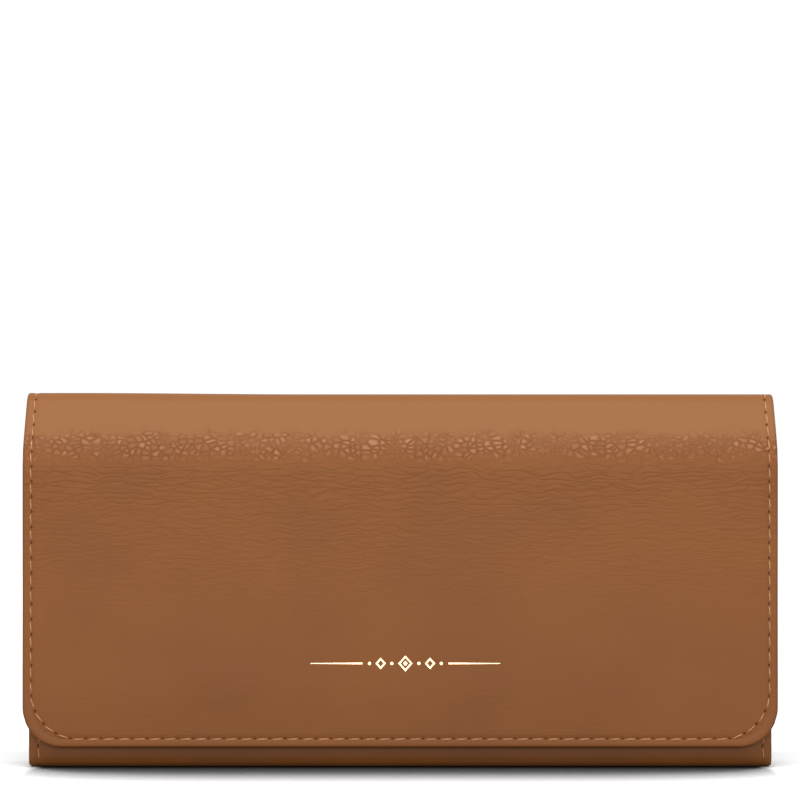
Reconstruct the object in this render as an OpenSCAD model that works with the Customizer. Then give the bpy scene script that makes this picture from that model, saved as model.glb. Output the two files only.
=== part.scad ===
// Long flap wallet that stands on its bottom fold.
// Frame: +X to the right, +Y to the back, +Z up. The origin is the middle of the foot.

/* [Wallet] */
// Width across the flap
wallet_w = 190; // [170:1:210]
// Height over the top fold
wallet_h = 94; // [88:1:100]
// Depth from the back face to the flap face
wallet_t = 25; // [25:0.5:28]
// How much narrower the body is than the flap, on each side
body_inset = 1.25; // [0.5:0.25:3]
// How much narrower the top fold is than the flap, on each side
spine_inset = 0.75; // [0.25:0.25:2]

/* [Cover] */
// Thickness of the outer leather
leather_t = 1.2; // [1:0.1:1.4]
// Thickness of the stiffening board inside the cover
board_t = 0.6; // [0.5:0.1:0.7]
// Thickness of the inside lining
lining_t = 0.5; // [0.4:0.1:0.6]
// Width of the turned edge that wraps the plies
turned_edge = 1.5; // [1:0.1:2]
// Outer radius of the two bottom folds
foot_r = 5; // [4.5:0.25:6]
// Outer radius of the crown, at the top of the top fold
crown_r = 4.8; // [4.5:0.1:6]
// Outer radius of the two shoulders of the top fold
shoulder_r = 14; // [10:1:16]
// How far the sides of the top fold lean, from upright, in degrees
lean = 33; // [28:1:36]

/* [Flap] */
// Height of the flap's lower edge above the foot
flap_gap = 5.5; // [3:0.5:10]
// Radius of the flap's lower corners
flap_corner_r = 10; // [6:0.5:14]

/* [Front panel] */
// Height of the front panel's top edge
front_h = 76.5; // [70:0.5:77]
// Depth from the flap face to the front panel's face
front_setback = 4.4; // [4.4:0.1:4.8]

/* [Zip pocket] */
// Depth of the zip pocket, outside to outside
pocket_t = 5.9; // [5.8:0.1:6]
// Gap between the back lining and the zip pocket
rear_gap = 4.6; // [4.5:0.1:5]
// Height of the zip pocket's top edge
pocket_h = 78; // [76:1:79]
// Length of the row of zip teeth
zip_l = 132; // [100:2:136]
// Spacing of the teeth along one row
tooth_pitch = 2.2; // [2:0.1:3]

/* [Card slots] */
// Step from one slot mouth to the next
slot_step = 9; // [7:0.5:10]

/* [Stitching] */
// Distance from an edge to its row of stitches
stitch_inset = 2.4; // [2:0.1:3]
// Length of one stitch and its hole
stitch_pitch = 4; // [3:0.25:5]

/* [Snap] */
// Outer radius of the snap's two rings
snap_r = 6; // [5:0.5:6.5]
// Height of the snap's middle above the foot
snap_z = 18; // [16:0.5:18.5]

/* [Hidden] */
$fn = 64;
eps = 0.01;
fold_gap = 0.3;        // degrees left open between two bodies at the bottom fold
top_gap = 0.06;        // left open between two bodies on the top fold

half_w = wallet_w / 2;
body_hw = half_w - body_inset;
spine_hw = half_w - spine_inset;
half_t = wallet_t / 2;
cover_t = leather_t + board_t + lining_t;

// top fold: shoulder, leaning side, crown, leaning side, shoulder
lean_l = (half_t - crown_r * cos(lean) - shoulder_r * (1 - cos(lean))) / sin(lean);
crown_end = [crown_r * cos(lean), wallet_h - crown_r * (1 - sin(lean))];
fold_z = crown_end[1] - lean_l * cos(lean) - shoulder_r * sin(lean);
board_top = fold_z - 0.2;

// flap plies, from the outside in
flap_y0 = -half_t;
flap_y1 = flap_y0 + leather_t;
flap_y2 = flap_y1 + board_t;
flap_y3 = flap_y2 + lining_t;

// front panel plies, from the outside in
front_y0 = -half_t + front_setback;
front_y1 = front_y0 + leather_t;
front_y2 = front_y1 + board_t;
front_y3 = front_y2 + lining_t;

// back panel plies, from the inside out
back_y3 = half_t - cover_t;
back_y2 = back_y3 + lining_t;
back_y1 = back_y2 + board_t;
back_y0 = half_t;

// middles of the two bottom folds
foot_back_y = half_t - foot_r;
foot_front_y = front_y0 + foot_r;

// zip pocket
pocket_y1 = back_y3 - rear_gap;
pocket_y0 = pocket_y1 - pocket_t;
pocket_yc = (pocket_y0 + pocket_y1) / 2;
pocket_r = pocket_t / 2;
pocket_z = 4;
pocket_hw = 86;
pocket_leather_t = 0.8;
pocket_lining_t = 0.3;
pocket_side_t = 0.6;
tape_t = 0.4;
tape_h = 11.6;
tape_over = 0.2;       // how far the tapes stand above the pocket's edge
tooth_w = 0.95;
tooth_h = 2;
tooth_z = pocket_h - 1.3;
row_gap = 0.5;         // line between the two rows, where the slider's web runs
bead_t = 0.35;         // moulded bead that carries a row of teeth along its tape
bead_h = 1;
stop_l = 1.6;
stop_h = tooth_h + 0.4;
tape_hw = pocket_hw - 1;
zip_seam_x = pocket_hw - 3;

// slider
slider_x = zip_l / 2 - 5;
slider_l = 9;
slider_top_w = 6.4;
slider_low_w = 2.9;
slider_plate_t = 0.8;
slider_top_z = tooth_z + tooth_h + 0.25;
slider_low_z = tooth_z - 0.5 - slider_plate_t;
slider_web_t = 0.3;
slider_web_l = slider_l / 2;
slider_round = 0.3;    // corner radius as a part of a plate's width
bridge_r = 2.6;
bridge_bore_r = 1.5;
bridge_w = 2;

// ring and tab on the slider
ring_wire_r = 0.45;
ring_strand = 1.3;     // from the ring's middle line to each strand
ring_z = slider_top_z + slider_plate_t + 1.95;
ring_back_y = pocket_yc + 1.2;
ring_front_y = -3.7;
tab_y = -3.2;
tab_t = 1.3;
tab_w = 7;
tab_l = 30;
tab_head_r = 1.95;
tab_neck = 3;          // length over which the tab narrows to its head
eyelet_r = 1.8;
eyelet_bore_r = 0.75;
eyelet_wall = 0.35;
eyelet_flange = 0.1;

// card slots
slot_count = 3;
slot_t = 0.4;
flap_slot_hw = 88;
flap_slot_mouth = 26;
pocket_slot_hw = 82;
pocket_slot_mouth = 64;
pocket_slot_foot = 8;
slot_seam_in = 2;      // from a slot's end to its upright seam
slot_seam_end = 0.5;   // from a slot's mouth to the first stitch
flap_slot_top = fold_z - 1;

// gussets, as the middle line of the folded leather seen from above
gusset_t = 0.6;
gusset_z0 = foot_r + 0.2;
gusset_edge = 0.45;    // from a panel's edge to the end of the leather
gusset_off = 0.35;     // from a panel's lining to the middle of the leather
gusset_out = 88.5;     // where the leather leaves the panel
gusset_in = 82.8;      // where it folds back
gusset_fold = 0.6;
gusset_rear_step = 2;  // from the zip pocket to the fold
gusset_front_step = 2.3;
gusset_foot_x = pocket_hw + 0.9;
gusset_rear_path = [[body_hw - gusset_edge, back_y3 - gusset_off], [gusset_out, back_y3 - gusset_off],
    [gusset_in, pocket_y1 + gusset_rear_step + gusset_fold], [gusset_in, pocket_y1 + gusset_rear_step],
    [gusset_foot_x, pocket_y1 + 0.4]];
gusset_front_path = [[body_hw - gusset_edge, front_y3 + gusset_off], [gusset_out, front_y3 + gusset_off],
    [gusset_in, pocket_y0 - gusset_front_step - gusset_fold], [gusset_in, pocket_y0 - gusset_front_step],
    [gusset_foot_x, pocket_y0 - 0.45]];
gusset_rear_top = front_h;
gusset_front_top = front_h - 2;

// snap, from the flap's board to the front panel's board
cap_t = 0.3;
cap_r = snap_r - 0.5;
cap_hole_r = snap_r - 0.3;
socket_t = 1.5;
socket_neck_r = 2.9;
socket_bore_r = 2.3;
stud_plate_t = 0.35;
stud_post_r = 1.6;
stud_post_l = 1.25;
stud_head_r = 1.9;
stud_head_t = 0.4;
stud_shank_r = 1.4;
stud_shank_l = 0.4;    // how far the shank reaches into the washer
washer_t = 0.5;
washer_r = snap_r - 1;
washer_hole_r = snap_r - 0.8;
snap_fit = 0.05;

// stitches
thread_r = 0.22;
stitch_gap = 0.9;      // part of each pitch that the hole takes
flap_seam_r = flap_corner_r - stitch_inset;
panel_seam_z = foot_r + 1;
fold_row = 4;          // stitches along one leaning side
fold_stitch = lean_l / fold_row + 0.4;

leather_colour = [0.55, 0.36, 0.22];
edge_colour = [0.47, 0.29, 0.17];
lining_colour = [0.60, 0.43, 0.28];
cloth_colour = [0.45, 0.33, 0.24];
board_colour = [0.72, 0.65, 0.55];
thread_colour = [0.74, 0.52, 0.33];
metal_colour = [0.83, 0.70, 0.42];

// ---- shapes that repeat ----

// A shape drawn as (y, z), drawn out along X to both sides
module along_x(hw) {
    rotate([90, 0, 90]) linear_extrude(height = 2 * hw, center = true) children();
}

// A shape drawn as (x, z), standing between y0 and y1
module upright(y0, y1) {
    translate([0, y1, 0]) rotate([90, 0, 0]) linear_extrude(height = y1 - y0) children();
}

// Part of a ring, from angle a0 to a1
module ring_part(r0, r1, a0, a1) {
    reach = 3 * r1;
    intersection() {
        difference() {
            circle(r = r1);
            circle(r = r0);
        }
        polygon([[0, 0], [reach * cos(a0), reach * sin(a0)],
            [reach * cos((a0 + a1) / 2), reach * sin((a0 + a1) / 2)], [reach * cos(a1), reach * sin(a1)]]);
    }
}

// A box between two corners of a 2D drawing
module rect(x0, x1, y0, y1) {
    translate([x0, y0]) square([x1 - x0, y1 - y0]);
}

// A plate outline with two round lower corners
module round_foot_outline(hw, z0, z1, r) {
    rect(-hw, hw, z0 + r, z1);
    rect(-hw + r, hw - r, z0, z0 + r + eps);
    for (side = [-1, 1]) translate([side * (hw - r), z0 + r]) circle(r = r);
}

// Points of a band of thickness t around a path
function unit(v) = v / norm(v);
function left_of(v) = [-v[1], v[0]];
function corner_normal(p, i) =
    i == 0 ? left_of(unit(p[1] - p[0])) :
    i == len(p) - 1 ? left_of(unit(p[i] - p[i - 1])) :
    let (n0 = left_of(unit(p[i] - p[i - 1])), n1 = left_of(unit(p[i + 1] - p[i])), m = n0 + n1)
    m * 2 / (m * m);
function band(p, t) = concat(
    [for (i = [0 : len(p) - 1]) p[i] + corner_normal(p, i) * t / 2],
    [for (i = [len(p) - 1 : -1 : 0]) p[i] - corner_normal(p, i) * t / 2]);

// One stitch lying along X, half round, with its flat side on z = 0
module stitch(pitch = stitch_pitch) {
    rotate([90, 0, 90]) linear_extrude(height = pitch - stitch_gap, center = true)
        intersection() {
            circle(r = thread_r, $fn = 16);
            rect(-thread_r, thread_r, 0, thread_r);
        }
}

// Stitches in a straight upright row on a face that looks along +Y (facing = 1) or -Y (facing = -1)
module upright_row(x, y, z0, z1, facing) {
    n = floor((z1 - z0) / stitch_pitch);
    for (i = [0 : n - 1])
        translate([x, y, z0 + (i + 0.5) * (z1 - z0) / n])
            rotate([facing * -90, 0, 0]) rotate([0, 0, 90]) stitch((z1 - z0) / n);
}

// Stitches in a straight level row
module level_row(x0, x1, y, z, facing) {
    n = floor((x1 - x0) / stitch_pitch);
    for (i = [0 : n - 1])
        translate([x0 + (i + 0.5) * (x1 - x0) / n, y, z])
            rotate([facing * -90, 0, 0]) stitch((x1 - x0) / n);
}

// ---- top fold, drawn for its back half ----

module shoulder_part(out, in)
    translate([half_t - shoulder_r, fold_z]) ring_part(shoulder_r - in, shoulder_r - out, 0, lean);

module lean_part(out, in, from, to)
    translate(crown_end) rotate(lean - 90) rect(from, to, -in, -out);

module crown_part(out, in)
    translate([0, wallet_h - crown_r]) ring_part(crown_r - in, crown_r - out, lean, 90);

// The stretch of the fold that moves with the panel below it
module fold_foot(out, in) {
    shoulder_part(out, in);
    lean_part(out, in, (lean_l + top_gap) / 2, lean_l);
}

// ---- back, which stands on the foot and carries the rest ----

module back_profile(out, in) {
    fold_foot(out, in);
    rect(half_t - in, half_t - out, foot_r, fold_z);
    translate([foot_back_y, foot_r]) ring_part(foot_r - in, foot_r - out, -90, 0);
    rect(foot_front_y - eps, foot_back_y + eps, out, in);
    translate([foot_front_y, foot_r]) ring_part(foot_r - in, foot_r - out, -135, -90);
}

module back_leather() color(leather_colour) difference() {
    along_x(body_hw) back_profile(0, cover_t);
    along_x(body_hw - turned_edge) back_profile(leather_t, cover_t + eps);
}

module back_board() color(board_colour)
    along_x(body_hw - turned_edge) rect(back_y2, back_y1, foot_r, board_top);

module back_lining() color(lining_colour) difference() {
    along_x(body_hw - turned_edge) back_profile(leather_t, cover_t);
    along_x(half_w) rect(back_y2, back_y1, foot_r, board_top);
}

module back_stitching() color(thread_colour)
    for (side = [-1, 1])
        upright_row(side * (body_hw - stitch_inset), back_y0, panel_seam_z, fold_z, 1);

module gusset(path, side, z1) {
    points = [for (p = band(path, gusset_t)) [side * p[0], p[1]]];
    translate([0, 0, gusset_z0]) linear_extrude(height = z1 - gusset_z0) polygon(points);
}

module gusset_rear_left() color(edge_colour) gusset(gusset_rear_path, -1, gusset_rear_top);
module gusset_rear_right() color(edge_colour) gusset(gusset_rear_path, 1, gusset_rear_top);

// ---- spine, the middle stretch of the top fold ----

module spine_profile(out, in)
    for (half = [0, 1]) mirror([half, 0]) {
        crown_part(out, in);
        lean_part(out, in, 0, (lean_l - top_gap) / 2);
    }

module spine_leather() color(leather_colour) difference() {
    along_x(spine_hw) spine_profile(0, cover_t);
    along_x(spine_hw - turned_edge) spine_profile(leather_t, cover_t + eps);
}

module spine_lining() color(lining_colour)
    along_x(spine_hw - turned_edge) spine_profile(leather_t, cover_t);

module spine_stitching() color(thread_colour)
    for (side = [-1, 1], half = [0, 1], row = [0, 1])
        translate([side * (spine_hw - stitch_inset), 0, 0]) mirror([0, half, 0])
            translate([0, crown_end[0], crown_end[1]]) rotate([lean - 90, 0, 0])
                translate([0, (row + 0.5) * lean_l / fold_row, 0]) rotate([0, 0, 90]) stitch(fold_stitch);

// ---- flap ----

// A shape drawn as (y, z) and mirrored to the front, cut to the flap's outline
module flap_cut(inset) intersection() {
    along_x(half_w + 1) mirror([1, 0]) children();
    upright(-half_t - 1, 0)
        round_foot_outline(half_w - inset, flap_gap + inset, wallet_h, flap_corner_r - inset);
}

module flap_side(out, in, z0) {
    fold_foot(out, in);
    rect(half_t - in, half_t - out, z0, fold_z);
}

module flap_leather() color(leather_colour) difference() {
    flap_cut(0) flap_side(0, cover_t, 0);
    flap_cut(turned_edge) flap_side(leather_t, cover_t + eps, 0);
}

module flap_board() color(board_colour) difference() {
    upright(flap_y1, flap_y2)
        round_foot_outline(half_w - turned_edge, flap_gap + turned_edge, board_top,
            flap_corner_r - turned_edge);
    snap_axis(flap_y1 - eps, flap_y2 + eps, cap_hole_r);
}

module flap_lining() color(lining_colour) difference() {
    flap_cut(turned_edge) {
        flap_side(leather_t, cover_t, board_top);
        rect(half_t - cover_t, half_t - leather_t - board_t, 0, board_top + eps);
    }
    snap_axis(flap_y2 - eps, flap_y3 + eps, socket_neck_r + snap_fit);
}

// One stitch of the seam that runs down one side, along the lower edge and up the other side
function seam_straight() = fold_z - flap_gap - flap_corner_r;
function seam_arc() = flap_seam_r * PI / 2;
function seam_level() = wallet_w - 2 * flap_corner_r;
function seam_length() = 2 * seam_straight() + 2 * seam_arc() + seam_level();

module flap_seam_place(s) {
    side_x = half_w - stitch_inset;
    corner_x = half_w - flap_corner_r;
    corner_z = flap_gap + flap_corner_r;
    a = seam_straight();
    b = a + seam_arc();
    c = b + seam_level();
    d = c + seam_arc();
    if (s < a) translate([-side_x, 0, fold_z - s]) rotate([0, 90, 0]) children();
    else if (s < b) translate([-corner_x, 0, corner_z])
        rotate([0, -(s - a) / flap_seam_r * 180 / PI, 0])
            translate([-flap_seam_r, 0, 0]) rotate([0, 90, 0]) children();
    else if (s < c) translate([-corner_x + s - b, 0, flap_gap + stitch_inset]) children();
    else if (s < d) translate([corner_x, 0, corner_z])
        rotate([0, -(s - c) / flap_seam_r * 180 / PI, 0])
            translate([0, 0, -flap_seam_r]) children();
    else translate([side_x, 0, corner_z + s - d]) rotate([0, 90, 0]) children();
}

module flap_stitching() color(thread_colour) {
    n = round(seam_length() / stitch_pitch);
    for (i = [0 : n - 1])
        translate([0, flap_y0, 0]) flap_seam_place((i + 0.5) * seam_length() / n)
            rotate([90, 0, 0]) stitch(seam_length() / n);
}

module flap_card_slot(i) color(leather_colour)
    upright(flap_y3 + (i - 1) * slot_t, flap_y3 + i * slot_t)
        rect(-flap_slot_hw, flap_slot_hw, flap_slot_mouth + (i - 1) * slot_step, flap_slot_top);

module flap_slot_stitching() color(thread_colour)
    for (i = [1 : slot_count], x = [-1, 0, 1] * (flap_slot_hw - slot_seam_in))
        upright_row(x, flap_y3 + i * slot_t, flap_slot_mouth + (i - 1) * slot_step + slot_seam_end,
            i < slot_count ? flap_slot_mouth + i * slot_step : flap_slot_top - slot_seam_in, 1);

// ---- snap ----

module snap_axis(y0, y1, r)
    translate([0, y1, snap_z]) rotate([90, 0, 0]) cylinder(h = y1 - y0, r = r);

module snap_socket() color(metal_colour) difference() {
    union() {
        snap_axis(flap_y3, flap_y3 + socket_t, snap_r);
        snap_axis(flap_y1 + cap_t, flap_y3 + eps, socket_neck_r);
    }
    snap_axis(flap_y1, front_y0, socket_bore_r);
}

module snap_socket_cap() color(metal_colour) snap_axis(flap_y1, flap_y1 + cap_t, cap_r);

module snap_stud() color(metal_colour) {
    post_y = front_y0 - stud_post_l;
    snap_axis(front_y0 - stud_plate_t, front_y0, snap_r);
    snap_axis(post_y, front_y0 - stud_plate_t + snap_fit, stud_post_r);
    snap_axis(post_y - stud_head_t, post_y + snap_fit, stud_head_r);
    snap_axis(front_y0 - eps, front_y1 + stud_shank_l, stud_shank_r);
}

module snap_stud_washer() color(metal_colour) difference() {
    snap_axis(front_y1, front_y1 + washer_t, washer_r);
    snap_axis(front_y1 - eps, front_y1 + washer_t + eps, stud_shank_r + snap_fit);
}

// ---- front panel ----

module front_profile(out, in, top) {
    translate([foot_front_y, foot_r]) ring_part(foot_r - in, foot_r - out, 180, 225 - fold_gap);
    rect(front_y0 + out, front_y0 + in, foot_r - eps, top);
}

module front_leather() color(leather_colour) difference() {
    along_x(body_hw) front_profile(0, cover_t, front_h);
    along_x(body_hw - turned_edge) front_profile(leather_t, cover_t + eps, front_h - turned_edge);
    snap_axis(front_y0 - eps, front_y1 + eps, stud_shank_r + snap_fit);
}

module front_board() color(board_colour) difference() {
    along_x(body_hw - turned_edge) rect(front_y1, front_y2, foot_r, front_h - turned_edge);
    snap_axis(front_y1 - eps, front_y2 + eps, washer_hole_r);
}

module front_lining() color(lining_colour) difference() {
    along_x(body_hw - turned_edge) front_profile(leather_t, cover_t, front_h - turned_edge);
    along_x(half_w) rect(front_y1, front_y2, foot_r, front_h);
}

module front_stitching() color(thread_colour) {
    seam_x = body_hw - stitch_inset;
    seam_top = front_h - stitch_inset;
    corner = 1;            // left open between the level row and the end of each upright row
    for (side = [-1, 1]) upright_row(side * seam_x, front_y0, panel_seam_z, seam_top - corner / 2, -1);
    level_row(-seam_x + corner, seam_x - corner, front_y0, seam_top, -1);
}

module gusset_front_left() color(edge_colour) gusset(gusset_front_path, -1, gusset_front_top);
module gusset_front_right() color(edge_colour) gusset(gusset_front_path, 1, gusset_front_top);

// ---- zip pocket ----

module pocket_profile(out, in, top) {
    centre_z = pocket_z + pocket_r;
    translate([pocket_yc, centre_z]) ring_part(pocket_r - in, pocket_r - out, 180, 270);
    translate([pocket_yc, centre_z]) ring_part(pocket_r - in, pocket_r - out, 270 - eps, 360);
    rect(pocket_y0 + out, pocket_y0 + in, centre_z - eps, top);
    rect(pocket_y1 - in, pocket_y1 - out, centre_z - eps, top);
}

module pocket_leather() color(leather_colour)
    along_x(pocket_hw) pocket_profile(0, pocket_leather_t, pocket_h);

module pocket_lining() color(cloth_colour)
    along_x(pocket_hw) pocket_profile(pocket_leather_t, pocket_leather_t + pocket_lining_t,
        pocket_h + tape_over - tape_h - 0.2);

module pocket_side(side) color(edge_colour)
    translate([side * (pocket_hw + pocket_side_t / 2), 0, 0])
        along_x(pocket_side_t / 2) {
            rect(pocket_y0, pocket_y1, pocket_z + pocket_r, pocket_h - 1);
            translate([pocket_yc, pocket_z + pocket_r]) circle(r = pocket_r);
        }

module pocket_side_left() pocket_side(-1);
module pocket_side_right() pocket_side(1);

module pocket_card_slot(i) color(leather_colour)
    upright(pocket_y0 - i * slot_t, pocket_y0 - (i - 1) * slot_t)
        rect(-pocket_slot_hw, pocket_slot_hw, pocket_slot_foot, pocket_slot_mouth - (i - 1) * slot_step);

module pocket_slot_stitching() color(thread_colour)
    for (i = [1 : slot_count], x = [-1, 0, 1] * (pocket_slot_hw - slot_seam_in))
        upright_row(x, pocket_y0 - i * slot_t,
            i < slot_count ? pocket_slot_mouth - i * slot_step : pocket_slot_foot + 1,
            pocket_slot_mouth - (i - 1) * slot_step - slot_seam_end, -1);

// ---- zip ----

module zip_tape(y0) color(cloth_colour)
    along_x(tape_hw) rect(y0, y0 + tape_t, pocket_h + tape_over - tape_h, pocket_h + tape_over);

module zip_tape_front() zip_tape(pocket_y0 + pocket_leather_t);
module zip_tape_rear() zip_tape(pocket_y1 - pocket_leather_t - tape_t);

tooth_reach = pocket_r - pocket_leather_t - tape_t - row_gap / 2;

module zip_teeth(side, shift) color(metal_colour) {
    n = floor(zip_l / tooth_pitch);
    for (i = [0 : n - 1])
        translate([-zip_l / 2 + (i + 0.25 + shift) * tooth_pitch,
                pocket_yc + side * (row_gap + tooth_reach) / 2, tooth_z + tooth_h / 2])
            cube([tooth_w, tooth_reach, tooth_h], center = true);
    translate([0, pocket_yc + side * (row_gap / 2 + tooth_reach - bead_t / 2), tooth_z + tooth_h / 2])
        cube([zip_l, bead_t, bead_h], center = true);
}

module zip_teeth_front() zip_teeth(-1, 0);
module zip_teeth_rear() zip_teeth(1, 0.5);

module zip_stop(x) color(metal_colour)
    translate([x, pocket_yc, tooth_z + tooth_h / 2])
        cube([stop_l, 2 * tooth_reach + row_gap, stop_h], center = true);

module zip_end_stop() zip_stop(-zip_l / 2 - stop_l);
module zip_top_stop() zip_stop(zip_l / 2 + stop_l);

module zip_stitching() color(thread_colour) {
    level_row(-zip_seam_x, zip_seam_x, pocket_y0, pocket_h - stitch_inset, -1);
    level_row(-zip_seam_x, zip_seam_x, pocket_y1, pocket_h - stitch_inset, 1);
}

module slider_plate(z, w) {
    r = w * slider_round;
    translate([slider_x, pocket_yc, z]) linear_extrude(height = slider_plate_t) {
        square([slider_l - 2 * r, w], center = true);
        square([slider_l, w - 2 * r], center = true);
        for (sx = [-1, 1], sy = [-1, 1])
            translate([sx * (slider_l / 2 - r), sy * (w / 2 - r)]) circle(r = r);
    }
}

module zip_slider() color(metal_colour) {
    slider_plate(slider_top_z, slider_top_w);
    slider_plate(slider_low_z, slider_low_w);
    translate([slider_x, pocket_yc, (slider_low_z + slider_top_z + slider_plate_t) / 2])
        cube([slider_web_l, slider_web_t, slider_top_z - slider_low_z], center = true);
    translate([slider_x, pocket_yc, slider_top_z + slider_plate_t - eps])
        rotate([90, 0, 0]) linear_extrude(height = bridge_w, center = true)
            ring_part(bridge_bore_r, bridge_r, 0, 180);
}

// An oval ring of round wire, linked through the slider's bridge
module pull_ring() color(metal_colour) {
    for (s = [-1, 1])
        translate([slider_x, ring_back_y, ring_z + s * ring_strand])
            rotate([90, 0, 0]) cylinder(h = ring_back_y - ring_front_y, r = ring_wire_r, $fn = 24);
    for (turn = [[ring_back_y, 0], [ring_front_y, 180]])
        translate([slider_x, turn[0], ring_z]) rotate([turn[1], 0, 0]) rotate([0, 90, 0])
            rotate_extrude(angle = 180, $fn = 24) translate([ring_strand, 0]) circle(r = ring_wire_r);
}

module pull_tab() color(leather_colour) {
    eye_z = ring_z - ring_strand;
    foot_z = eye_z - tab_l + tab_w / 2;
    difference() {
        upright(tab_y, tab_y + tab_t) translate([slider_x, 0]) {
            rect(-tab_w / 2, tab_w / 2, foot_z, eye_z - tab_neck);
            translate([0, foot_z]) circle(r = tab_w / 2);
            polygon([[-tab_w / 2, eye_z - tab_neck - eps], [-tab_head_r, eye_z], [tab_head_r, eye_z],
                [tab_w / 2, eye_z - tab_neck - eps]]);
            translate([0, eye_z]) circle(r = tab_head_r);
        }
        translate([slider_x, tab_y + tab_t + eps, eye_z])
            rotate([90, 0, 0]) cylinder(h = tab_t + 2 * eps, r = eyelet_bore_r + eyelet_wall);
    }
}

module pull_eyelet() color(metal_colour)
    translate([slider_x, tab_y + tab_t + eyelet_flange, ring_z - ring_strand]) rotate([90, 0, 0])
    difference() {
        union() {
            cylinder(h = tab_t + 2 * eyelet_flange, r = eyelet_bore_r + eyelet_wall);
            cylinder(h = eyelet_flange, r = eyelet_r);
            translate([0, 0, tab_t + eyelet_flange]) cylinder(h = eyelet_flange, r = eyelet_r);
        }
        translate([0, 0, -eps]) cylinder(h = tab_t + 2 * eyelet_flange + 2 * eps, r = eyelet_bore_r);
    }

back_leather();
back_board();
back_lining();
back_stitching();
gusset_rear_left();
gusset_rear_right();
spine_leather();
spine_lining();
spine_stitching();
flap_leather();
flap_board();
flap_lining();
flap_stitching();
flap_card_slot(1);  // flap_card_slot_1
flap_card_slot(2);  // flap_card_slot_2
flap_card_slot(3);  // flap_card_slot_3
flap_slot_stitching();
snap_socket();
snap_socket_cap();
front_leather();
front_board();
front_lining();
front_stitching();
snap_stud();
snap_stud_washer();
gusset_front_left();
gusset_front_right();
pocket_leather();
pocket_lining();
pocket_side_left();
pocket_side_right();
pocket_card_slot(1);  // pocket_card_slot_1
pocket_card_slot(2);  // pocket_card_slot_2
pocket_card_slot(3);  // pocket_card_slot_3
pocket_slot_stitching();
zip_tape_front();
zip_tape_rear();
zip_teeth_front();
zip_teeth_rear();
zip_end_stop();
zip_top_stop();
zip_stitching();
zip_slider();
pull_ring();
pull_tab();
pull_eyelet();
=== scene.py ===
# Long flap wallet in pebbled tan cowhide, standing closed on its bottom fold.
import bpy
import bmesh
import math
from mathutils import Matrix, Vector, noise


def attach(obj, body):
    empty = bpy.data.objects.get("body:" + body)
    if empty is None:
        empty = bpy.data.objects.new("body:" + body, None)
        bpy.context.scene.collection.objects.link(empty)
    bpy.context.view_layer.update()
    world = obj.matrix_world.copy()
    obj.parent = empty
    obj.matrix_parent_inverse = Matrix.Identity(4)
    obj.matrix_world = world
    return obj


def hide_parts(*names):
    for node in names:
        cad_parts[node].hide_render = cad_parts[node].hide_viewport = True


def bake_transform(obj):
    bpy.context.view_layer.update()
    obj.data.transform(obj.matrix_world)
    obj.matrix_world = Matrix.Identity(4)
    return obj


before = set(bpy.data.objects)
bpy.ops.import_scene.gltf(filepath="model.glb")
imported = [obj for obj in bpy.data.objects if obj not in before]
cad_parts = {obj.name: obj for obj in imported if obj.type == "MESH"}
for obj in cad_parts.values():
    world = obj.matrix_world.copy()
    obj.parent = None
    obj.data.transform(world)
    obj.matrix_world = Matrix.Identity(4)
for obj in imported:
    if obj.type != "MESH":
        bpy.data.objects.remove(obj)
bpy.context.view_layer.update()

mm = 0.001
meeting = 0.004                # points closer than this are one point
rightward = Vector((1, 0, 0))


def hexToLinear(code):
    # sRGB hex to the linear colour a shader socket wants
    parts = [int(code[i:i + 2], 16) / 255 for i in (0, 2, 4)]
    return [p / 12.92 if p <= 0.04045 else ((p + 0.055) / 1.055) ** 2.4 for p in parts] + [1.0]


def addNode(tree, kind, settings=None, links=None):
    # one node with its settings and its incoming links; "stops" fills a colour ramp, eased between the stops
    node = tree.nodes.new(kind)
    for key, value in (settings or {}).items():
        if key == "stops":
            node.color_ramp.interpolation = "EASE"
            elements = node.color_ramp.elements
            while len(elements) < len(value):
                elements.new(0.5)
            for element, (place, shade) in zip(elements, value):
                element.position = place
                element.color = shade if isinstance(shade, list) else [shade, shade, shade, 1.0]
        elif isinstance(key, str) and hasattr(node, key):
            setattr(node, key, value)
        else:
            node.inputs[key].default_value = value
    for key, source in (links or {}).items():
        tree.links.new(source, node.inputs[key])
    return node


def newMaterial(name):
    mat = bpy.data.materials.new(name)
    mat.use_nodes = True
    tree = mat.node_tree
    tree.nodes.clear()
    shader = addNode(tree, "ShaderNodeBsdfPrincipled")
    addNode(tree, "ShaderNodeOutputMaterial", links={"Surface": shader.outputs["BSDF"]})
    return mat, tree, shader


def finishPiece(bm, name, materials, smooth=True):
    mesh = bpy.data.meshes.new(name)
    for f in bm.faces:
        f.smooth = smooth
    bm.to_mesh(mesh)
    bm.free()
    piece = bpy.data.objects.new(name, mesh)
    bpy.context.scene.collection.objects.link(piece)
    for mat in materials:
        mesh.materials.append(mat)
    return piece


def ease(x):
    x = min(1.0, max(0.0, x))
    return x * x * (3 - 2 * x)


coverLook = {
    "base": "512f15",          # cognac dye, drummed right through
    "warm": "523015",
    "shade": "4f2e15",
    "fold": "56351a",          # painted highlight: the top fold made paler, as the light from above falls on it
    # crease: painted shade, the colour the creases and wrinkles are darkened towards
    "crease": "3c200c",
    "pebbleTopHighlight": "68442e",     # painted highlight: pebble tops paler than the creases
    "pebbleWide": 1.9,         # mm across one pebble
    "pebbleHigh": 1.6,
    "smallPebble": 1.25,
    "wrinkleLong": 7.0,        # mm along one wrinkle
    "wrinkleHigh": 1.3,
    "pebbleDepth": 0.085,        # mm
    "wrinkleDepth": 0.06,
    "poreDepth": 0.005,
    "roughness": 0.46,
    "shine": 0.055,
}


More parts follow.
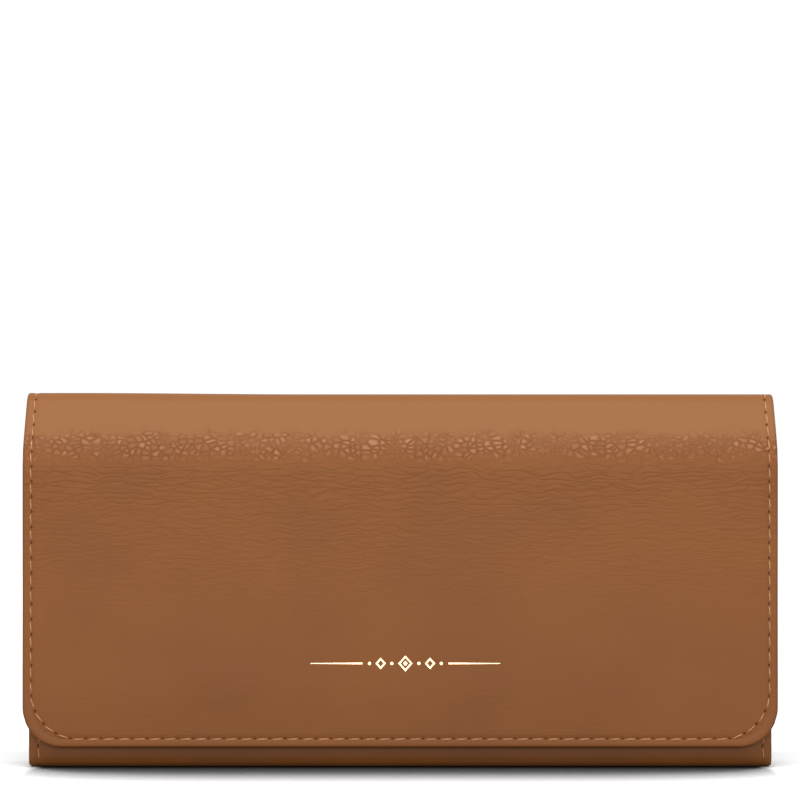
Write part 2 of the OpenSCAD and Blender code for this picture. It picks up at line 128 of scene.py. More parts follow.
def makePebbledCowhide():
    # Full grain cowhide, drum dyed and tumbled: round pebbles where it bends, flat creases where it is tight
    look = coverLook
    mat, tree, shader = newMaterial("pebbled cowhide, drum dyed")
    uv = addNode(tree, "ShaderNodeUVMap", {"uv_map": "hide"})             # 1 unit is 10 mm
    split = addNode(tree, "ShaderNodeSeparateXYZ", links={0: uv.outputs[0]})
    far = addNode(tree, "ShaderNodeMath", {"operation": "ABSOLUTE"}, {0: split.outputs["Y"]})
    # distance from the crown, where 1 is 100 mm
    along = addNode(tree, "ShaderNodeMath", {"operation": "MULTIPLY", 1: 0.1}, {0: far.outputs[0]})

    # the pattern wanders, so no row of pebbles is straight
    wander = addNode(tree, "ShaderNodeTexNoise", {"Scale": 1.5, "Detail": 1.0}, {"Vector": uv.outputs[0]})
    centred = addNode(tree, "ShaderNodeVectorMath", {"operation": "SUBTRACT", 1: (0.5, 0.5, 0.5)},
                      {0: wander.outputs["Color"]})
    push = addNode(tree, "ShaderNodeVectorMath", {"operation": "SCALE", "Scale": 0.3},
                   {0: centred.outputs[0]})
    bent = addNode(tree, "ShaderNodeVectorMath", {"operation": "ADD"}, {0: uv.outputs[0], 1: push.outputs[0]})
    ragged = addNode(tree, "ShaderNodeTexNoise", {"noise_dimensions": "2D", "Scale": 3.2, "Detail": 4.0},
                     {"Vector": uv.outputs[0]})
    # the bands' edges are ragged: 0 to 6 mm is added to the distance
    raggedAlong = addNode(tree, "ShaderNodeMath", {"operation": "MULTIPLY_ADD", 1: 0.06},
                          {0: ragged.outputs["Fac"], 2: along.outputs[0]})

    perUnit = 10.0
    pebbleMap = addNode(tree, "ShaderNodeMapping",
                        {"Scale": (perUnit / look["pebbleWide"], perUnit / look["pebbleHigh"], 1)},
                        {"Vector": bent.outputs[0]})
    pebbleEdge = addNode(tree, "ShaderNodeTexVoronoi",
                         {"feature": "DISTANCE_TO_EDGE", "voronoi_dimensions": "2D", "Scale": 1.0},
                         {"Vector": pebbleMap.outputs[0]})
    pebbleCell = addNode(tree, "ShaderNodeTexVoronoi", {"voronoi_dimensions": "2D", "Scale": 1.0},
                         {"Vector": pebbleMap.outputs[0]})
    pebbleTone = addNode(tree, "ShaderNodeSeparateColor", links={0: pebbleCell.outputs["Color"]})
    pebbleForm = addNode(tree, "ShaderNodeValToRGB", {"stops": [(0.0, 0.0), (0.14, 0.7), (0.4, 1.0)]},
                         {"Fac": pebbleEdge.outputs["Distance"]})
    pebbleGap = addNode(tree, "ShaderNodeMath", {"operation": "SUBTRACT", 0: 1.0}, {1: pebbleForm.outputs[0]})
    smallMap = addNode(tree, "ShaderNodeMapping",
                       {"Location": (5.1, 2.3, 0),
                        "Scale": (perUnit / look["smallPebble"], perUnit / look["smallPebble"], 1)},
                       {"Vector": bent.outputs[0]})
    smallEdge = addNode(tree, "ShaderNodeTexVoronoi",
                        {"feature": "DISTANCE_TO_EDGE", "voronoi_dimensions": "2D", "Scale": 1.0},
                        {"Vector": smallMap.outputs[0]})
    smallGap = addNode(tree, "ShaderNodeValToRGB", {"stops": [(0.0, 1.0), (0.24, 0.0)]},
                       {"Fac": smallEdge.outputs["Distance"]})
    patches = addNode(tree, "ShaderNodeTexNoise", {"noise_dimensions": "2D", "Scale": 1.3, "Detail": 1.0},
                      {"Vector": uv.outputs[0]})
    leftToRight = addNode(tree, "ShaderNodeMath", {"operation": "MULTIPLY_ADD", 1: 0.012},
                          {0: split.outputs["X"], 2: patches.outputs["Fac"]})
    bigPatch = addNode(tree, "ShaderNodeValToRGB", {"stops": [(0.46, 1.0), (0.62, 0.35)]},
                       {"Fac": leftToRight.outputs[0]})
    smallPatch = addNode(tree, "ShaderNodeValToRGB", {"stops": [(0.48, 0.0), (0.62, 0.75)]},
                         {"Fac": leftToRight.outputs[0]})
    bigCrease = addNode(tree, "ShaderNodeMath", {"operation": "MULTIPLY"},
                        {0: pebbleGap.outputs[0], 1: bigPatch.outputs[0]})
    smallCrease = addNode(tree, "ShaderNodeMath", {"operation": "MULTIPLY"},
                          {0: smallGap.outputs[0], 1: smallPatch.outputs[0]})
    bothCrease = addNode(tree, "ShaderNodeMath", {"operation": "MAXIMUM"},
                         {0: bigCrease.outputs[0], 1: smallCrease.outputs[0]})

    wrinkleMap = addNode(tree, "ShaderNodeMapping",
                         {"Location": (3.7, 1.9, 0),
                          "Scale": (perUnit / look["wrinkleLong"], perUnit / look["wrinkleHigh"], 1)},
                         {"Vector": bent.outputs[0]})
    wrinkleEdge = addNode(tree, "ShaderNodeTexVoronoi",
                          {"feature": "DISTANCE_TO_EDGE", "voronoi_dimensions": "2D", "Scale": 1.0},
                          {"Vector": wrinkleMap.outputs[0]})
    wrinkleGap = addNode(tree, "ShaderNodeValToRGB", {"stops": [(0.0, 1.0), (0.1, 0.3), (0.35, 0.0)]},
                         {"Fac": wrinkleEdge.outputs["Distance"]})
    ripple = addNode(tree, "ShaderNodeTexNoise", {"noise_dimensions": "2D", "Scale": 1.0, "Detail": 3.0},
                     {"Vector": wrinkleMap.outputs[0]})

    # where each pattern shows, by the distance from the crown of the top fold
    shoulder = addNode(tree, "ShaderNodeValToRGB",
                       {"stops": [(0.16, 0.0), (0.192, 1.0), (0.225, 1.0), (0.257, 0.0)]},
                       {"Fac": raggedAlong.outputs[0]})
    pulled = addNode(tree, "ShaderNodeValToRGB",
                     {"stops": [(0.225, 0.0), (0.265, 1.0), (0.4, 0.55), (0.66, 0.1)]},
                     {"Fac": raggedAlong.outputs[0]})
    crease = addNode(tree, "ShaderNodeMath", {"operation": "MULTIPLY"},
                     {0: bothCrease.outputs[0], 1: shoulder.outputs[0]})
    wrinkle = addNode(tree, "ShaderNodeMath", {"operation": "MULTIPLY"},
                      {0: wrinkleGap.outputs[0], 1: pulled.outputs[0]})
    rippled = addNode(tree, "ShaderNodeMath", {"operation": "MULTIPLY"},
                      {0: ripple.outputs["Fac"], 1: pulled.outputs[0]})
    pores = addNode(tree, "ShaderNodeTexNoise", {"noise_dimensions": "2D", "Scale": 34.0, "Detail": 2.0},
                    {"Vector": uv.outputs[0]})

    poreMm = addNode(tree, "ShaderNodeMath", {"operation": "MULTIPLY", 1: look["poreDepth"]},
                     {0: pores.outputs["Fac"]})
    creaseMm = addNode(tree, "ShaderNodeMath", {"operation": "MULTIPLY_ADD", 1: -look["pebbleDepth"]},
                       {0: crease.outputs[0], 2: poreMm.outputs[0]})
    wrinkleMm = addNode(tree, "ShaderNodeMath", {"operation": "MULTIPLY_ADD", 1: -look["wrinkleDepth"]},
                        {0: wrinkle.outputs[0], 2: creaseMm.outputs[0]})
    heightMm = addNode(tree, "ShaderNodeMath", {"operation": "MULTIPLY_ADD", 1: look["wrinkleDepth"] * 2.4},
                       {0: rippled.outputs[0], 2: wrinkleMm.outputs[0]})
    bump = addNode(tree, "ShaderNodeBump", {"Strength": 1.0, "Distance": mm}, {"Height": heightMm.outputs[0]})

    # colour: slow even dye, a painted highlight on the top fold and on the pebble tops, painted shade in the
    # creases
    cloud = addNode(tree, "ShaderNodeTexNoise", {"noise_dimensions": "2D", "Scale": 0.35, "Detail": 3.0},
                    {"Vector": bent.outputs[0]})
    dye = addNode(tree, "ShaderNodeValToRGB",
                  {"stops": [(0.32, hexToLinear(look["shade"])), (0.5, hexToLinear(look["base"])),
                             (0.68, hexToLinear(look["warm"]))]},
                  {"Fac": cloud.outputs["Fac"]})
    # painted highlight: near the crown, with a ragged edge, the dye is mixed towards the paler fold colour
    foldHighlightMask = addNode(tree, "ShaderNodeValToRGB", {"stops": [(0.15, 1.0), (0.22, 0.0)]},
                     {"Fac": raggedAlong.outputs[0]})
    wearAndHighlight = addNode(tree, "ShaderNodeMix", {"data_type": "RGBA", 7: hexToLinear(look["fold"])},
                   {0: foldHighlightMask.outputs[0], 6: dye.outputs[0]})
    # painted highlight: pebble tops in the shoulder band mixed towards the paler colour
    dome = addNode(tree, "ShaderNodeValToRGB", {"stops": [(0.12, 0.0), (0.4, 1.0)]},
                   {"Fac": pebbleEdge.outputs["Distance"]})
    domed = addNode(tree, "ShaderNodeMath", {"operation": "MULTIPLY"},
                    {0: dome.outputs[0], 1: shoulder.outputs[0]})
    patchTop = addNode(tree, "ShaderNodeMath", {"operation": "MULTIPLY"},
                       {0: domed.outputs[0], 1: bigPatch.outputs[0]})
    pebbleHighlightAmount = addNode(tree, "ShaderNodeMath", {"operation": "MULTIPLY"},
                      {0: patchTop.outputs[0], 1: pebbleTone.outputs[0]})
    pebbleHighlightMix = addNode(tree, "ShaderNodeMix", {"data_type": "RGBA", 7: hexToLinear(look["pebbleTopHighlight"])},
                     {0: pebbleHighlightAmount.outputs[0], 6: wearAndHighlight.outputs[2]})
    # painted shade: creases and wrinkles darkened towards the crease colour
    creaseShadeSum = addNode(tree, "ShaderNodeMath", {"operation": "MULTIPLY_ADD", 1: 0.3},
                        {0: wrinkle.outputs[0], 2: crease.outputs[0]})
    creaseShadeFac = addNode(tree, "ShaderNodeMath", {"operation": "MULTIPLY", 1: 0.44, "use_clamp": True},
                        {0: creaseShadeSum.outputs[0]})
    colour = addNode(tree, "ShaderNodeMix", {"data_type": "RGBA", 7: hexToLinear(look["crease"])},
                     {0: creaseShadeFac.outputs[0], 6: pebbleHighlightMix.outputs[2]})
    tree.links.new(colour.outputs[2], shader.inputs["Base Color"])
    tree.links.new(bump.outputs[0], shader.inputs["Normal"])
    shader.inputs["Roughness"].default_value = look["roughness"]
    shader.inputs["IOR"].default_value = 1.48
    shader.inputs["Specular IOR Level"].default_value = look["shine"]
    return mat


# crease is painted shade, darkening the gaps of the grain
thinLook = {"dark": "653a1e", "pale": "754728", "crease": "4a2812", "grain": 1.0, "grainDepth": 0.035}


def makeThinCowhide():
    # Same hide split to under a millimetre and lightly tumbled: small even grain, softer gloss than the cover
    look = thinLook
    mat, tree, shader = newMaterial("split cowhide, lightly tumbled")
    uv = addNode(tree, "ShaderNodeUVMap", {"uv_map": "hide"})
    wander = addNode(tree, "ShaderNodeTexNoise", {"Scale": 3.0, "Detail": 2.0}, {"Vector": uv.outputs[0]})
    push = addNode(tree, "ShaderNodeVectorMath", {"operation": "SCALE", "Scale": 0.16},
                   {0: wander.outputs["Color"]})
    bent = addNode(tree, "ShaderNodeVectorMath", {"operation": "ADD"}, {0: uv.outputs[0], 1: push.outputs[0]})
    grain = addNode(tree, "ShaderNodeTexVoronoi",
                    {"feature": "DISTANCE_TO_EDGE", "voronoi_dimensions": "2D",
                     "Scale": 10.0 / look["grain"]}, {"Vector": bent.outputs[0]})
    gap = addNode(tree, "ShaderNodeValToRGB", {"stops": [(0.0, 1.0), (0.22, 0.0)]},
                  {"Fac": grain.outputs["Distance"]})
    cloud = addNode(tree, "ShaderNodeTexNoise", {"Scale": 0.8, "Detail": 3.0}, {"Vector": uv.outputs[0]})
    dye = addNode(tree, "ShaderNodeValToRGB",
                  {"stops": [(0.35, hexToLinear(look["dark"])), (0.65, hexToLinear(look["pale"]))]},
                  {"Fac": cloud.outputs["Fac"]})
    # painted shade: the grain's gaps a little darker
    grainGapShade = addNode(tree, "ShaderNodeMath", {"operation": "MULTIPLY", 1: 0.35}, {0: gap.outputs[0]})
    colour = addNode(tree, "ShaderNodeMix", {"data_type": "RGBA", 7: hexToLinear(look["crease"])},
                     {0: grainGapShade.outputs[0], 6: dye.outputs[0]})
    depth = addNode(tree, "ShaderNodeMath", {"operation": "MULTIPLY", 1: -look["grainDepth"]},
                    {0: gap.outputs[0]})
    bump = addNode(tree, "ShaderNodeBump", {"Strength": 1.0, "Distance": mm}, {"Height": depth.outputs[0]})
    tree.links.new(colour.outputs[2], shader.inputs["Base Color"])
    tree.links.new(bump.outputs[0], shader.inputs["Normal"])
    shader.inputs["Roughness"].default_value = 0.52
    shader.inputs["Specular IOR Level"].default_value = 0.3
    return mat


def makeSmoothCalf():
    # Smooth lining calf, corrected and pressed: fine even pores, matte
    mat, tree, shader = newMaterial("smooth lining calf, pressed")
    uv = addNode(tree, "ShaderNodeUVMap", {"uv_map": "hide"})
    cloud = addNode(tree, "ShaderNodeTexNoise", {"Scale": 0.6, "Detail": 4.0}, {"Vector": uv.outputs[0]})
    dye = addNode(tree, "ShaderNodeValToRGB",
                  {"stops": [(0.3, hexToLinear("86583a")), (0.7, hexToLinear("936445"))]},
                  {"Fac": cloud.outputs["Fac"]})
    # 0.7 mm
    pores = addNode(tree, "ShaderNodeTexVoronoi", {"voronoi_dimensions": "2D", "Scale": 14.0},
                    {"Vector": uv.outputs[0]})
    bump = addNode(tree, "ShaderNodeBump", {"Strength": 1.0, "Distance": 0.012 * mm},
                   {"Height": pores.outputs["Distance"]})
    tree.links.new(dye.outputs[0], shader.inputs["Base Color"])
    tree.links.new(bump.outputs[0], shader.inputs["Normal"])
    shader.inputs["Roughness"].default_value = 0.62
    shader.inputs["Specular IOR Level"].default_value = 0.35
    return mat


def makeWaxedThread():
    # Waxed polyester thread, twisted: paler than the hide, a low soft gloss
    mat, tree, shader = newMaterial("waxed polyester thread, twisted")
    place = addNode(tree, "ShaderNodeTexCoord")
    fibre = addNode(tree, "ShaderNodeTexNoise", {"Scale": 2600.0, "Detail": 2.0},
                    {"Vector": place.outputs["Object"]})
    tone = addNode(tree, "ShaderNodeValToRGB",
                   {"stops": [(0.3, hexToLinear("6c472a")), (0.7, hexToLinear("84583a"))]},
                   {"Fac": fibre.outputs["Fac"]})
    tree.links.new(tone.outputs[0], shader.inputs["Base Color"])
    shader.inputs["Roughness"].default_value = 0.6
    shader.inputs["Specular IOR Level"].default_value = 0.15
    return mat


def makeNeedleHole():
    # Painted shade: a dark disc over each awl hole stands for the shade inside it
    mat, tree, shader = newMaterial("needle hole, painted shade")
    place = addNode(tree, "ShaderNodeTexCoord")
    fibre = addNode(tree, "ShaderNodeTexNoise", {"Scale": 3000.0}, {"Vector": place.outputs["Object"]})
    tone = addNode(tree, "ShaderNodeValToRGB",
                   {"stops": [(0.3, hexToLinear("2e1508")), (0.7, hexToLinear("3f1e0b"))]},
                   {"Fac": fibre.outputs["Fac"]})
    tree.links.new(tone.outputs[0], shader.inputs["Base Color"])
    shader.inputs["Roughness"].default_value = 0.9
    shader.inputs["Specular IOR Level"].default_value = 0.1
    return mat


def makeFoil():
    # Pale gold foil, hot stamped: a matt metal film, thinner where the grain dips
    mat, tree, shader = newMaterial("pale gold foil, hot stamped")
    place = addNode(tree, "ShaderNodeTexCoord")
    wearAndHighlight = addNode(tree, "ShaderNodeTexNoise", {"Scale": 900.0, "Detail": 3.0},
                   {"Vector": place.outputs["Object"]})
    tone = addNode(tree, "ShaderNodeValToRGB",
                   {"stops": [(0.3, hexToLinear("c29763")), (0.55, hexToLinear("e6c190"))]},
                   {"Fac": wearAndHighlight.outputs["Fac"]})
    tree.links.new(tone.outputs[0], shader.inputs["Base Color"])
    shader.inputs["Metallic"].default_value = 0.35
    shader.inputs["Roughness"].default_value = 0.42
    return mat


def makeBrass():
    # Zinc casting plated with light brass and barrel polished: bright, with hairline wear in one direction
    mat, tree, shader = newMaterial("zinc casting, plated light brass")
    place = addNode(tree, "ShaderNodeTexCoord")
    stretched = addNode(tree, "ShaderNodeMapping", {"Scale": (400, 2500, 2500)},
                        {"Vector": place.outputs["Object"]})
    hairline = addNode(tree, "ShaderNodeTexNoise", {"Scale": 1.0, "Detail": 3.0},
                       {"Vector": stretched.outputs[0]})
    tone = addNode(tree, "ShaderNodeValToRGB",
                   {"stops": [(0.3, hexToLinear("d0a765")), (0.7, hexToLinear("e6c488"))]},
                   {"Fac": hairline.outputs["Fac"]})
    gloss = addNode(tree, "ShaderNodeMapRange", {3: 0.2, 4: 0.34}, {0: hairline.outputs["Fac"]})
    tree.links.new(tone.outputs[0], shader.inputs["Base Color"])
    tree.links.new(gloss.outputs[0], shader.inputs["Roughness"])
    shader.inputs["Metallic"].default_value = 1.0
    return mat


def makeWovenCloth(name, codeLow, codeHigh, perMm, lift):
    # Polyester yarns woven over and under: a small even check of raised yarns, no gloss
    mat, tree, shader = newMaterial(name)
    uv = addNode(tree, "ShaderNodeUVMap", {"uv_map": "hide"})
    yarn = addNode(tree, "ShaderNodeTexChecker", {"Scale": 10.0 * perMm}, {"Vector": uv.outputs[0]})
    stretched = addNode(tree, "ShaderNodeMapping", {"Scale": (10.0 * perMm, 40.0, 1)},
                        {"Vector": uv.outputs[0]})
    slub = addNode(tree, "ShaderNodeTexNoise", {"Scale": 1.0, "Detail": 2.0},
                   {"Vector": stretched.outputs[0]})
    mixed = addNode(tree, "ShaderNodeMath", {"operation": "MULTIPLY_ADD", 1: 0.3},
                    {0: yarn.outputs["Fac"], 2: slub.outputs["Fac"]})
    tone = addNode(tree, "ShaderNodeValToRGB",
                   {"stops": [(0.35, hexToLinear(codeLow)), (0.95, hexToLinear(codeHigh))]},
                   {"Fac": mixed.outputs[0]})
    bump = addNode(tree, "ShaderNodeBump", {"Strength": 0.8, "Distance": lift * mm},
                   {"Height": mixed.outputs[0]})
    tree.links.new(tone.outputs[0], shader.inputs["Base Color"])
    tree.links.new(bump.outputs[0], shader.inputs["Normal"])
    shader.inputs["Roughness"].default_value = 0.85
    shader.inputs["Specular IOR Level"].default_value = 0.2
    return mat


def makeFibreBoard():
    # Bonded leather fibre board, sheared: a pale felt of short brown fibres
    mat, tree, shader = newMaterial("bonded fibre board, sheared")
    place = addNode(tree, "ShaderNodeTexCoord")
    felt = addNode(tree, "ShaderNodeTexNoise", {"Scale": 700.0, "Detail": 4.0},
                   {"Vector": place.outputs["Object"]})
    tone = addNode(tree, "ShaderNodeValToRGB",
                   {"stops": [(0.3, hexToLinear("9c8465")), (0.7, hexToLinear("b7a182"))]},
                   {"Fac": felt.outputs["Fac"]})
    tree.links.new(tone.outputs[0], shader.inputs["Base Color"])
    shader.inputs["Roughness"].default_value = 0.95
    return mat


cowhide = makePebbledCowhide()
thinHide = makeThinCowhide()
calf = makeSmoothCalf()
threadMat = makeWaxedThread()
holeShadeMat = makeNeedleHole()
foil = makeFoil()
brass = makeBrass()
tapeCloth = makeWovenCloth("polyester zip tape, woven", "3d2413", "5d3a22", 2.0, 0.08)
pocketCloth = makeWovenCloth("polyester pocket cloth, plain weave", "4a3120", "68482f", 3.0, 0.05)
board = makeFibreBoard()
print("materials ready")


cover = {
    "height": 94.5,
    "depth": 25.0,
    "crownRadius": 4.8,        # tight bend at the very top
    "shoulderRadius": 14.0,    # slower bend from the leaning side to the flat face
    "lean": 33.0,              # degrees from upright
    "shoulderTop": 74.62,      # height where the flat faces begin
    "footRadius": 2.4,
    "frontFace": -8.1,
    "frontTop": 76.5,
    "footMiddle": 2.2,
    "flapEdge": 5.3,           # height of the flap's lower edge
    "thick": 2.2,              # outer leather, board and lining together
    "edgeRadius": 0.65,
    "seamInset": 2.32,
    "seamDip": 0.12,
    "puff": 0.22,
    "sag": 0.35,               # the crown settles a little, except near its left end
    "flapHalf": 95.0,
    "bodyHalf": 93.8,
    "crownWider": 0.85,        # the back spreads to the flap's width at the crown
    "crownNarrower": 0.35,
    "footNarrower": 0.7,
    "turnedEdge": 1.5,         # the lining is set in by this much
}

leanTurn = math.radians(cover["lean"])
crownArc = cover["crownRadius"] * (math.pi / 2 - leanTurn)
crownEndY = cover["crownRadius"] * math.cos(leanTurn)
crownEndZ = cover["height"] - cover["crownRadius"] * (1 - math.sin(leanTurn))
leanEndY = cover["depth"] / 2 - cover["shoulderRadius"] * (1 - math.cos(leanTurn))
leanEndZ = cover["shoulderTop"] + cover["shoulderRadius"] * math.sin(leanTurn)
leanLength = math.hypot(leanEndY - crownEndY, leanEndZ - crownEndZ)
shoulderArc = cover["shoulderRadius"] * leanTurn
topLength = crownArc + leanLength + shoulderArc


def topPath(t, side):
    # from the crown down the leaning side, round the shoulder and down the flat face; side is -1 to the
    # front, 1 to the back
    if t < crownArc:
        a = t / cover["crownRadius"]
        y, z = cover["crownRadius"] * math.sin(a), cover["height"] - cover["crownRadius"] * (1 - math.cos(a))
        ny, nz = math.sin(a), math.cos(a)
    elif t < crownArc + leanLength:
        k = (t - crownArc) / leanLength
        y, z = crownEndY + k * (leanEndY - crownEndY), crownEndZ + k * (leanEndZ - crownEndZ)
        ny, nz = math.cos(leanTurn), math.sin(leanTurn)
    elif t < topLength:
        a = (topLength - t) / cover["shoulderRadius"]
        y = cover["depth"] / 2 - cover["shoulderRadius"] * (1 - math.cos(a))
        z = cover["shoulderTop"] + cover["shoulderRadius"] * math.sin(a)
        ny, nz = math.cos(a), math.sin(a)
    else:
        y, z, ny, nz = cover["depth"] / 2, cover["shoulderTop"] - (t - topLength), 1.0, 0.0
    return Vector((0, side * y, z)), Vector((0, side * ny, nz))


def flapPath(t):
    return topPath(t, -1)


def backPath(t):
    if t < backDown:
        return topPath(t, 1)
    r = cover["footRadius"]
    a = (t - backDown) / r
    if a < math.pi / 2:
        return Vector((0, cover["depth"] / 2 - r * (1 - math.cos(a)), r * (1 - math.sin(a)))), Vector((0,
                math.cos(a), -math.sin(a)))
    return Vector((0, cover["depth"] / 2 - r - (t - backDown - r * math.pi / 2), 0)), Vector((0, 0, -1))


def frontPath(t):
    r = cover["footRadius"]
    a = (t - frontLevel) / r
    if a < 0:
        return Vector((0, cover["footMiddle"] - t, 0)), Vector((0, 0, -1))
    if a < math.pi / 2:
        return Vector((0, cover["frontFace"] + r * (1 - math.sin(a)), r * (1 - math.cos(a)))), Vector((0,
                -math.sin(a), -math.cos(a)))
    return Vector((0, cover["frontFace"], r + t - frontLevel - r * math.pi / 2)), Vector((0, -1, 0))


backDown = topLength + cover["shoulderTop"] - cover["footRadius"]
footArc = cover["footRadius"] * math.pi / 2
backEnd = backDown + footArc + cover["depth"] / 2 - cover["footRadius"] - cover["footMiddle"]
frontLevel = cover["footMiddle"] - cover["frontFace"] - cover["footRadius"]
frontCorner = frontLevel + footArc
frontEnd = frontCorner + cover["frontTop"] - cover["footRadius"]
flapEnd = topLength + cover["shoulderTop"] - cover["flapEdge"]


def flapHalf(t):
    return cover["flapHalf"] - cover["crownNarrower"] * (1 - ease(t / 20))


def backHalf(t):
    spread = cover["crownWider"] * (1 - ease(t / 30))
    return cover["bodyHalf"] + spread - cover["footNarrower"] * ease((t - backDown - 2.5) / 5.5)


def frontHalf(t):
    return cover["bodyHalf"] - cover["footNarrower"] * ease((frontCorner - 2.5 - t) / 5.5)


def crownSag(s, t):
    return -cover["sag"] * ease((s + 82) / 60) * (1 - ease(t / 14))


def spacing(length, step, startEdge, endEdge):
    # distances along an edge, close together where the edge rolls over and where the seam dips
    fine = [0, 0.06, 0.18, 0.36, 0.6, 0.85, 1.1, 1.5, 1.9, 2.15, 2.32, 2.55, 2.9, 3.4, 4.4, 6.0, 8.5]
    fine = [f for f in fine if f < length / 2.5]
    low = fine if startEdge else [0]
    high = [length - f for f in reversed(fine)] if endEdge else [length]
    count = max(1, round((high[0] - low[-1]) / step))
    middle = [low[-1] + (high[0] - low[-1]) * k / count for k in range(1, count)]
    return low + middle + high


def outlineDepth(spec, s, t):
    # how far inside the outline a point is
    half = spec["half"](t)
    fromEnd = spec["end"] - t if spec.get("endIsEdge") else 1e3
    fromStart = t - spec["start"] if spec.get("startIsEdge") else 1e3
    r = spec.get("corner", 0.0)
    qx, qe = abs(s) - (half - r), r - fromEnd
    if r > 0 and qx > 0 and qe > 0:
        return r - math.hypot(qx, qe)
    return min(half - abs(s), fromEnd, fromStart)


def faceRelief(spec, s, t, d):
    # outward height of the face above its flat form
    if not spec.get("relief"):
        return 0.0
    gain = spec["relief"](t)
    dip = math.exp(-((d - cover["seamInset"]) / 0.5) ** 2) * cover["seamDip"]
    rise = cover["puff"] * ease((d - cover["seamInset"]) / 16.0) * gain
    sway = noise.noise(Vector((s / 23, t / 17, spec["seed"]))) * 0.1 * gain
    return rise + sway * ease(d / 6) - dip


def rollDepth(d, r):
    return r - math.sqrt(max(0.0, r * r - (r - d) ** 2)) if d < r else 0.0


def layPoint(spec, s, t, depth):
    # a point in the frame: s across the length, t along it, depth under its outer face
    origin, out = spec["path"](t)
    point = origin + spec.get("across", rightward) * s - out * depth
    if spec.get("sag"):
        point.z += spec["sag"](s, t)
    return point * mm


def facePoint(spec, s, t, lift=0.0):
    d = outlineDepth(spec, s, t)
    return layPoint(spec, s, t, spec["outer"] + rollDepth(max(d, 0.0), spec["roll"]) - faceRelief(spec, s, t,
                                                                                                  d) - lift)


def layLength(name, spec, materials):
    # a length of hide as a closed slab: one grid for each side, laid along the path, joined round the rolled
    # edge
    length = spec["end"] - spec["start"]
    widest = max(spec["half"](spec["start"] + length * k / 60) for k in range(61))
    cols = spacing(2 * widest, spec["step"], True, True)
    rows = spacing(length, spec["step"] * 0.8, spec.get("startIsEdge", False), spec.get("endIsEdge", False))
    bm = bmesh.new()
    uvLayer = bm.loops.layers.uv.new("hide")
    hide = {}
    for inner in (False, True):
        made = bmesh.ops.create_grid(bm, x_segments=len(cols) - 1, y_segments=len(rows) - 1, size=1)["verts"]
        for v in made:
            i = round((v.co.x + 1) / 2 * (len(cols) - 1))
            j = round((v.co.y + 1) / 2 * (len(rows) - 1))
            t = spec["start"] + rows[j]
            half, r, fromEnd = spec["half"](t), spec.get("corner", 0.0), spec["end"] - t
            if r > 0 and spec.get("endIsEdge") and fromEnd < r:
                half = half - r + math.sqrt(max(0.0, r * r - (r - fromEnd) ** 2))
            s = (cols[i] - widest) * half / widest
            if inner:
                v.co = layPoint(spec, s, t, spec["inner"] - rollDepth(max(0.0, outlineDepth(spec, s, t)),
                                                                      spec["roll"]))
            else:
                v.co = facePoint(spec, s, t)
            hide[v] = (s / 10, spec.get("sense", 1) * t / 10 + spec.get("offset", 0.0))
        if inner:
            bmesh.ops.reverse_faces(bm, faces=list({f for v in made for f in v.link_faces}))
    bmesh.ops.remove_doubles(bm, verts=bm.verts[:], dist=meeting * mm)
    rim = [e for e in bm.edges if len(e.link_faces) == 1]
    if rim and spec["inner"] - spec["outer"] - 2 * spec["roll"] > meeting:
        # the two sides stop short of each other, so a narrow edge joins them
        bmesh.ops.bridge_loops(bm, edges=rim)
    elif rim:
        bmesh.ops.holes_fill(bm, edges=rim, sides=0)
    for f in bm.faces:
        for loop in f.loops:
            loop[uvLayer].uv = hide[loop.vert]
    bmesh.ops.recalc_face_normals(bm, faces=bm.faces[:])
    for e in rim:
        e.smooth = False
    return finishPiece(bm, name, materials)


def fadeIn(start, end):
    return lambda t: ease((t - start) / (end - start))


flapSpec = {"path": flapPath, "half": flapHalf, "start": 0.0, "end": flapEnd, "endIsEdge": True,
            "corner": 10.0, "outer": 0.0, "inner": cover["thick"], "roll": cover["edgeRadius"],
            "step": 1.6, "seed": 0.3, "relief": fadeIn(14.0, 34.0), "sag": crownSag}
backSpec = {"path": backPath, "half": backHalf, "start": 0.0, "end": backEnd,
            "outer": 0.0, "inner": cover["thick"], "roll": cover["edgeRadius"], "step": 1.9, "seed": 5.1,
            "sense": -1, "sag": crownSag,
            "relief": lambda t: ease((t - 14.0) / 20.0) * ease((backDown - t) / 8.0)}
frontSpec = {"path": frontPath, "half": frontHalf, "start": 0.0, "end": frontEnd, "endIsEdge": True,
             "corner": 2.0, "outer": 0.0, "inner": cover["thick"], "roll": cover["edgeRadius"],
             "step": 1.9, "seed": 9.7, "offset": 7.0, "relief": fadeIn(frontCorner + 4.0, frontCorner + 20.0)}

flapCover = layLength("flap_cover_leather", flapSpec, [cowhide])
backCover = layLength("back_cover_leather", backSpec, [cowhide])
frontCover = layLength("front_cover_leather", frontSpec, [cowhide])
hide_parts("flap_leather", "spine_leather")
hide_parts("back_leather", "spine_leather")
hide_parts("front_leather", "back_leather")
print("cover laid")


calfLook = {"sunk": 0.12, "proud": 0.14, "roll": 0.13, "step": 3.0}


def liningOf(spec):
    # the calf that lines a length of the cover, set in from its turned edge
    inset = cover["turnedEdge"]
    end = spec["end"] - (inset if spec.get("endIsEdge") else 0)
    return {**spec, "half": lambda t: spec["half"](t) - inset, "end": end,
            "corner": max(0.0, spec.get("corner", 0.0) - inset), "outer": cover["thick"] - calfLook["sunk"],
            "inner": cover["thick"] + calfLook["proud"], "roll": calfLook["roll"], "relief": None,
            "step": calfLook["step"]}


flapLining = layLength("flap_lining_calf", liningOf(flapSpec), [calf])
backLining = layLength("back_lining_calf", liningOf(backSpec), [calf])
frontLining = layLength("front_lining_calf", liningOf(frontSpec), [calf])
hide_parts("flap_lining", "spine_lining")
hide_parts("back_lining", "spine_lining")
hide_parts("front_lining", "back_lining")
print("linings laid")


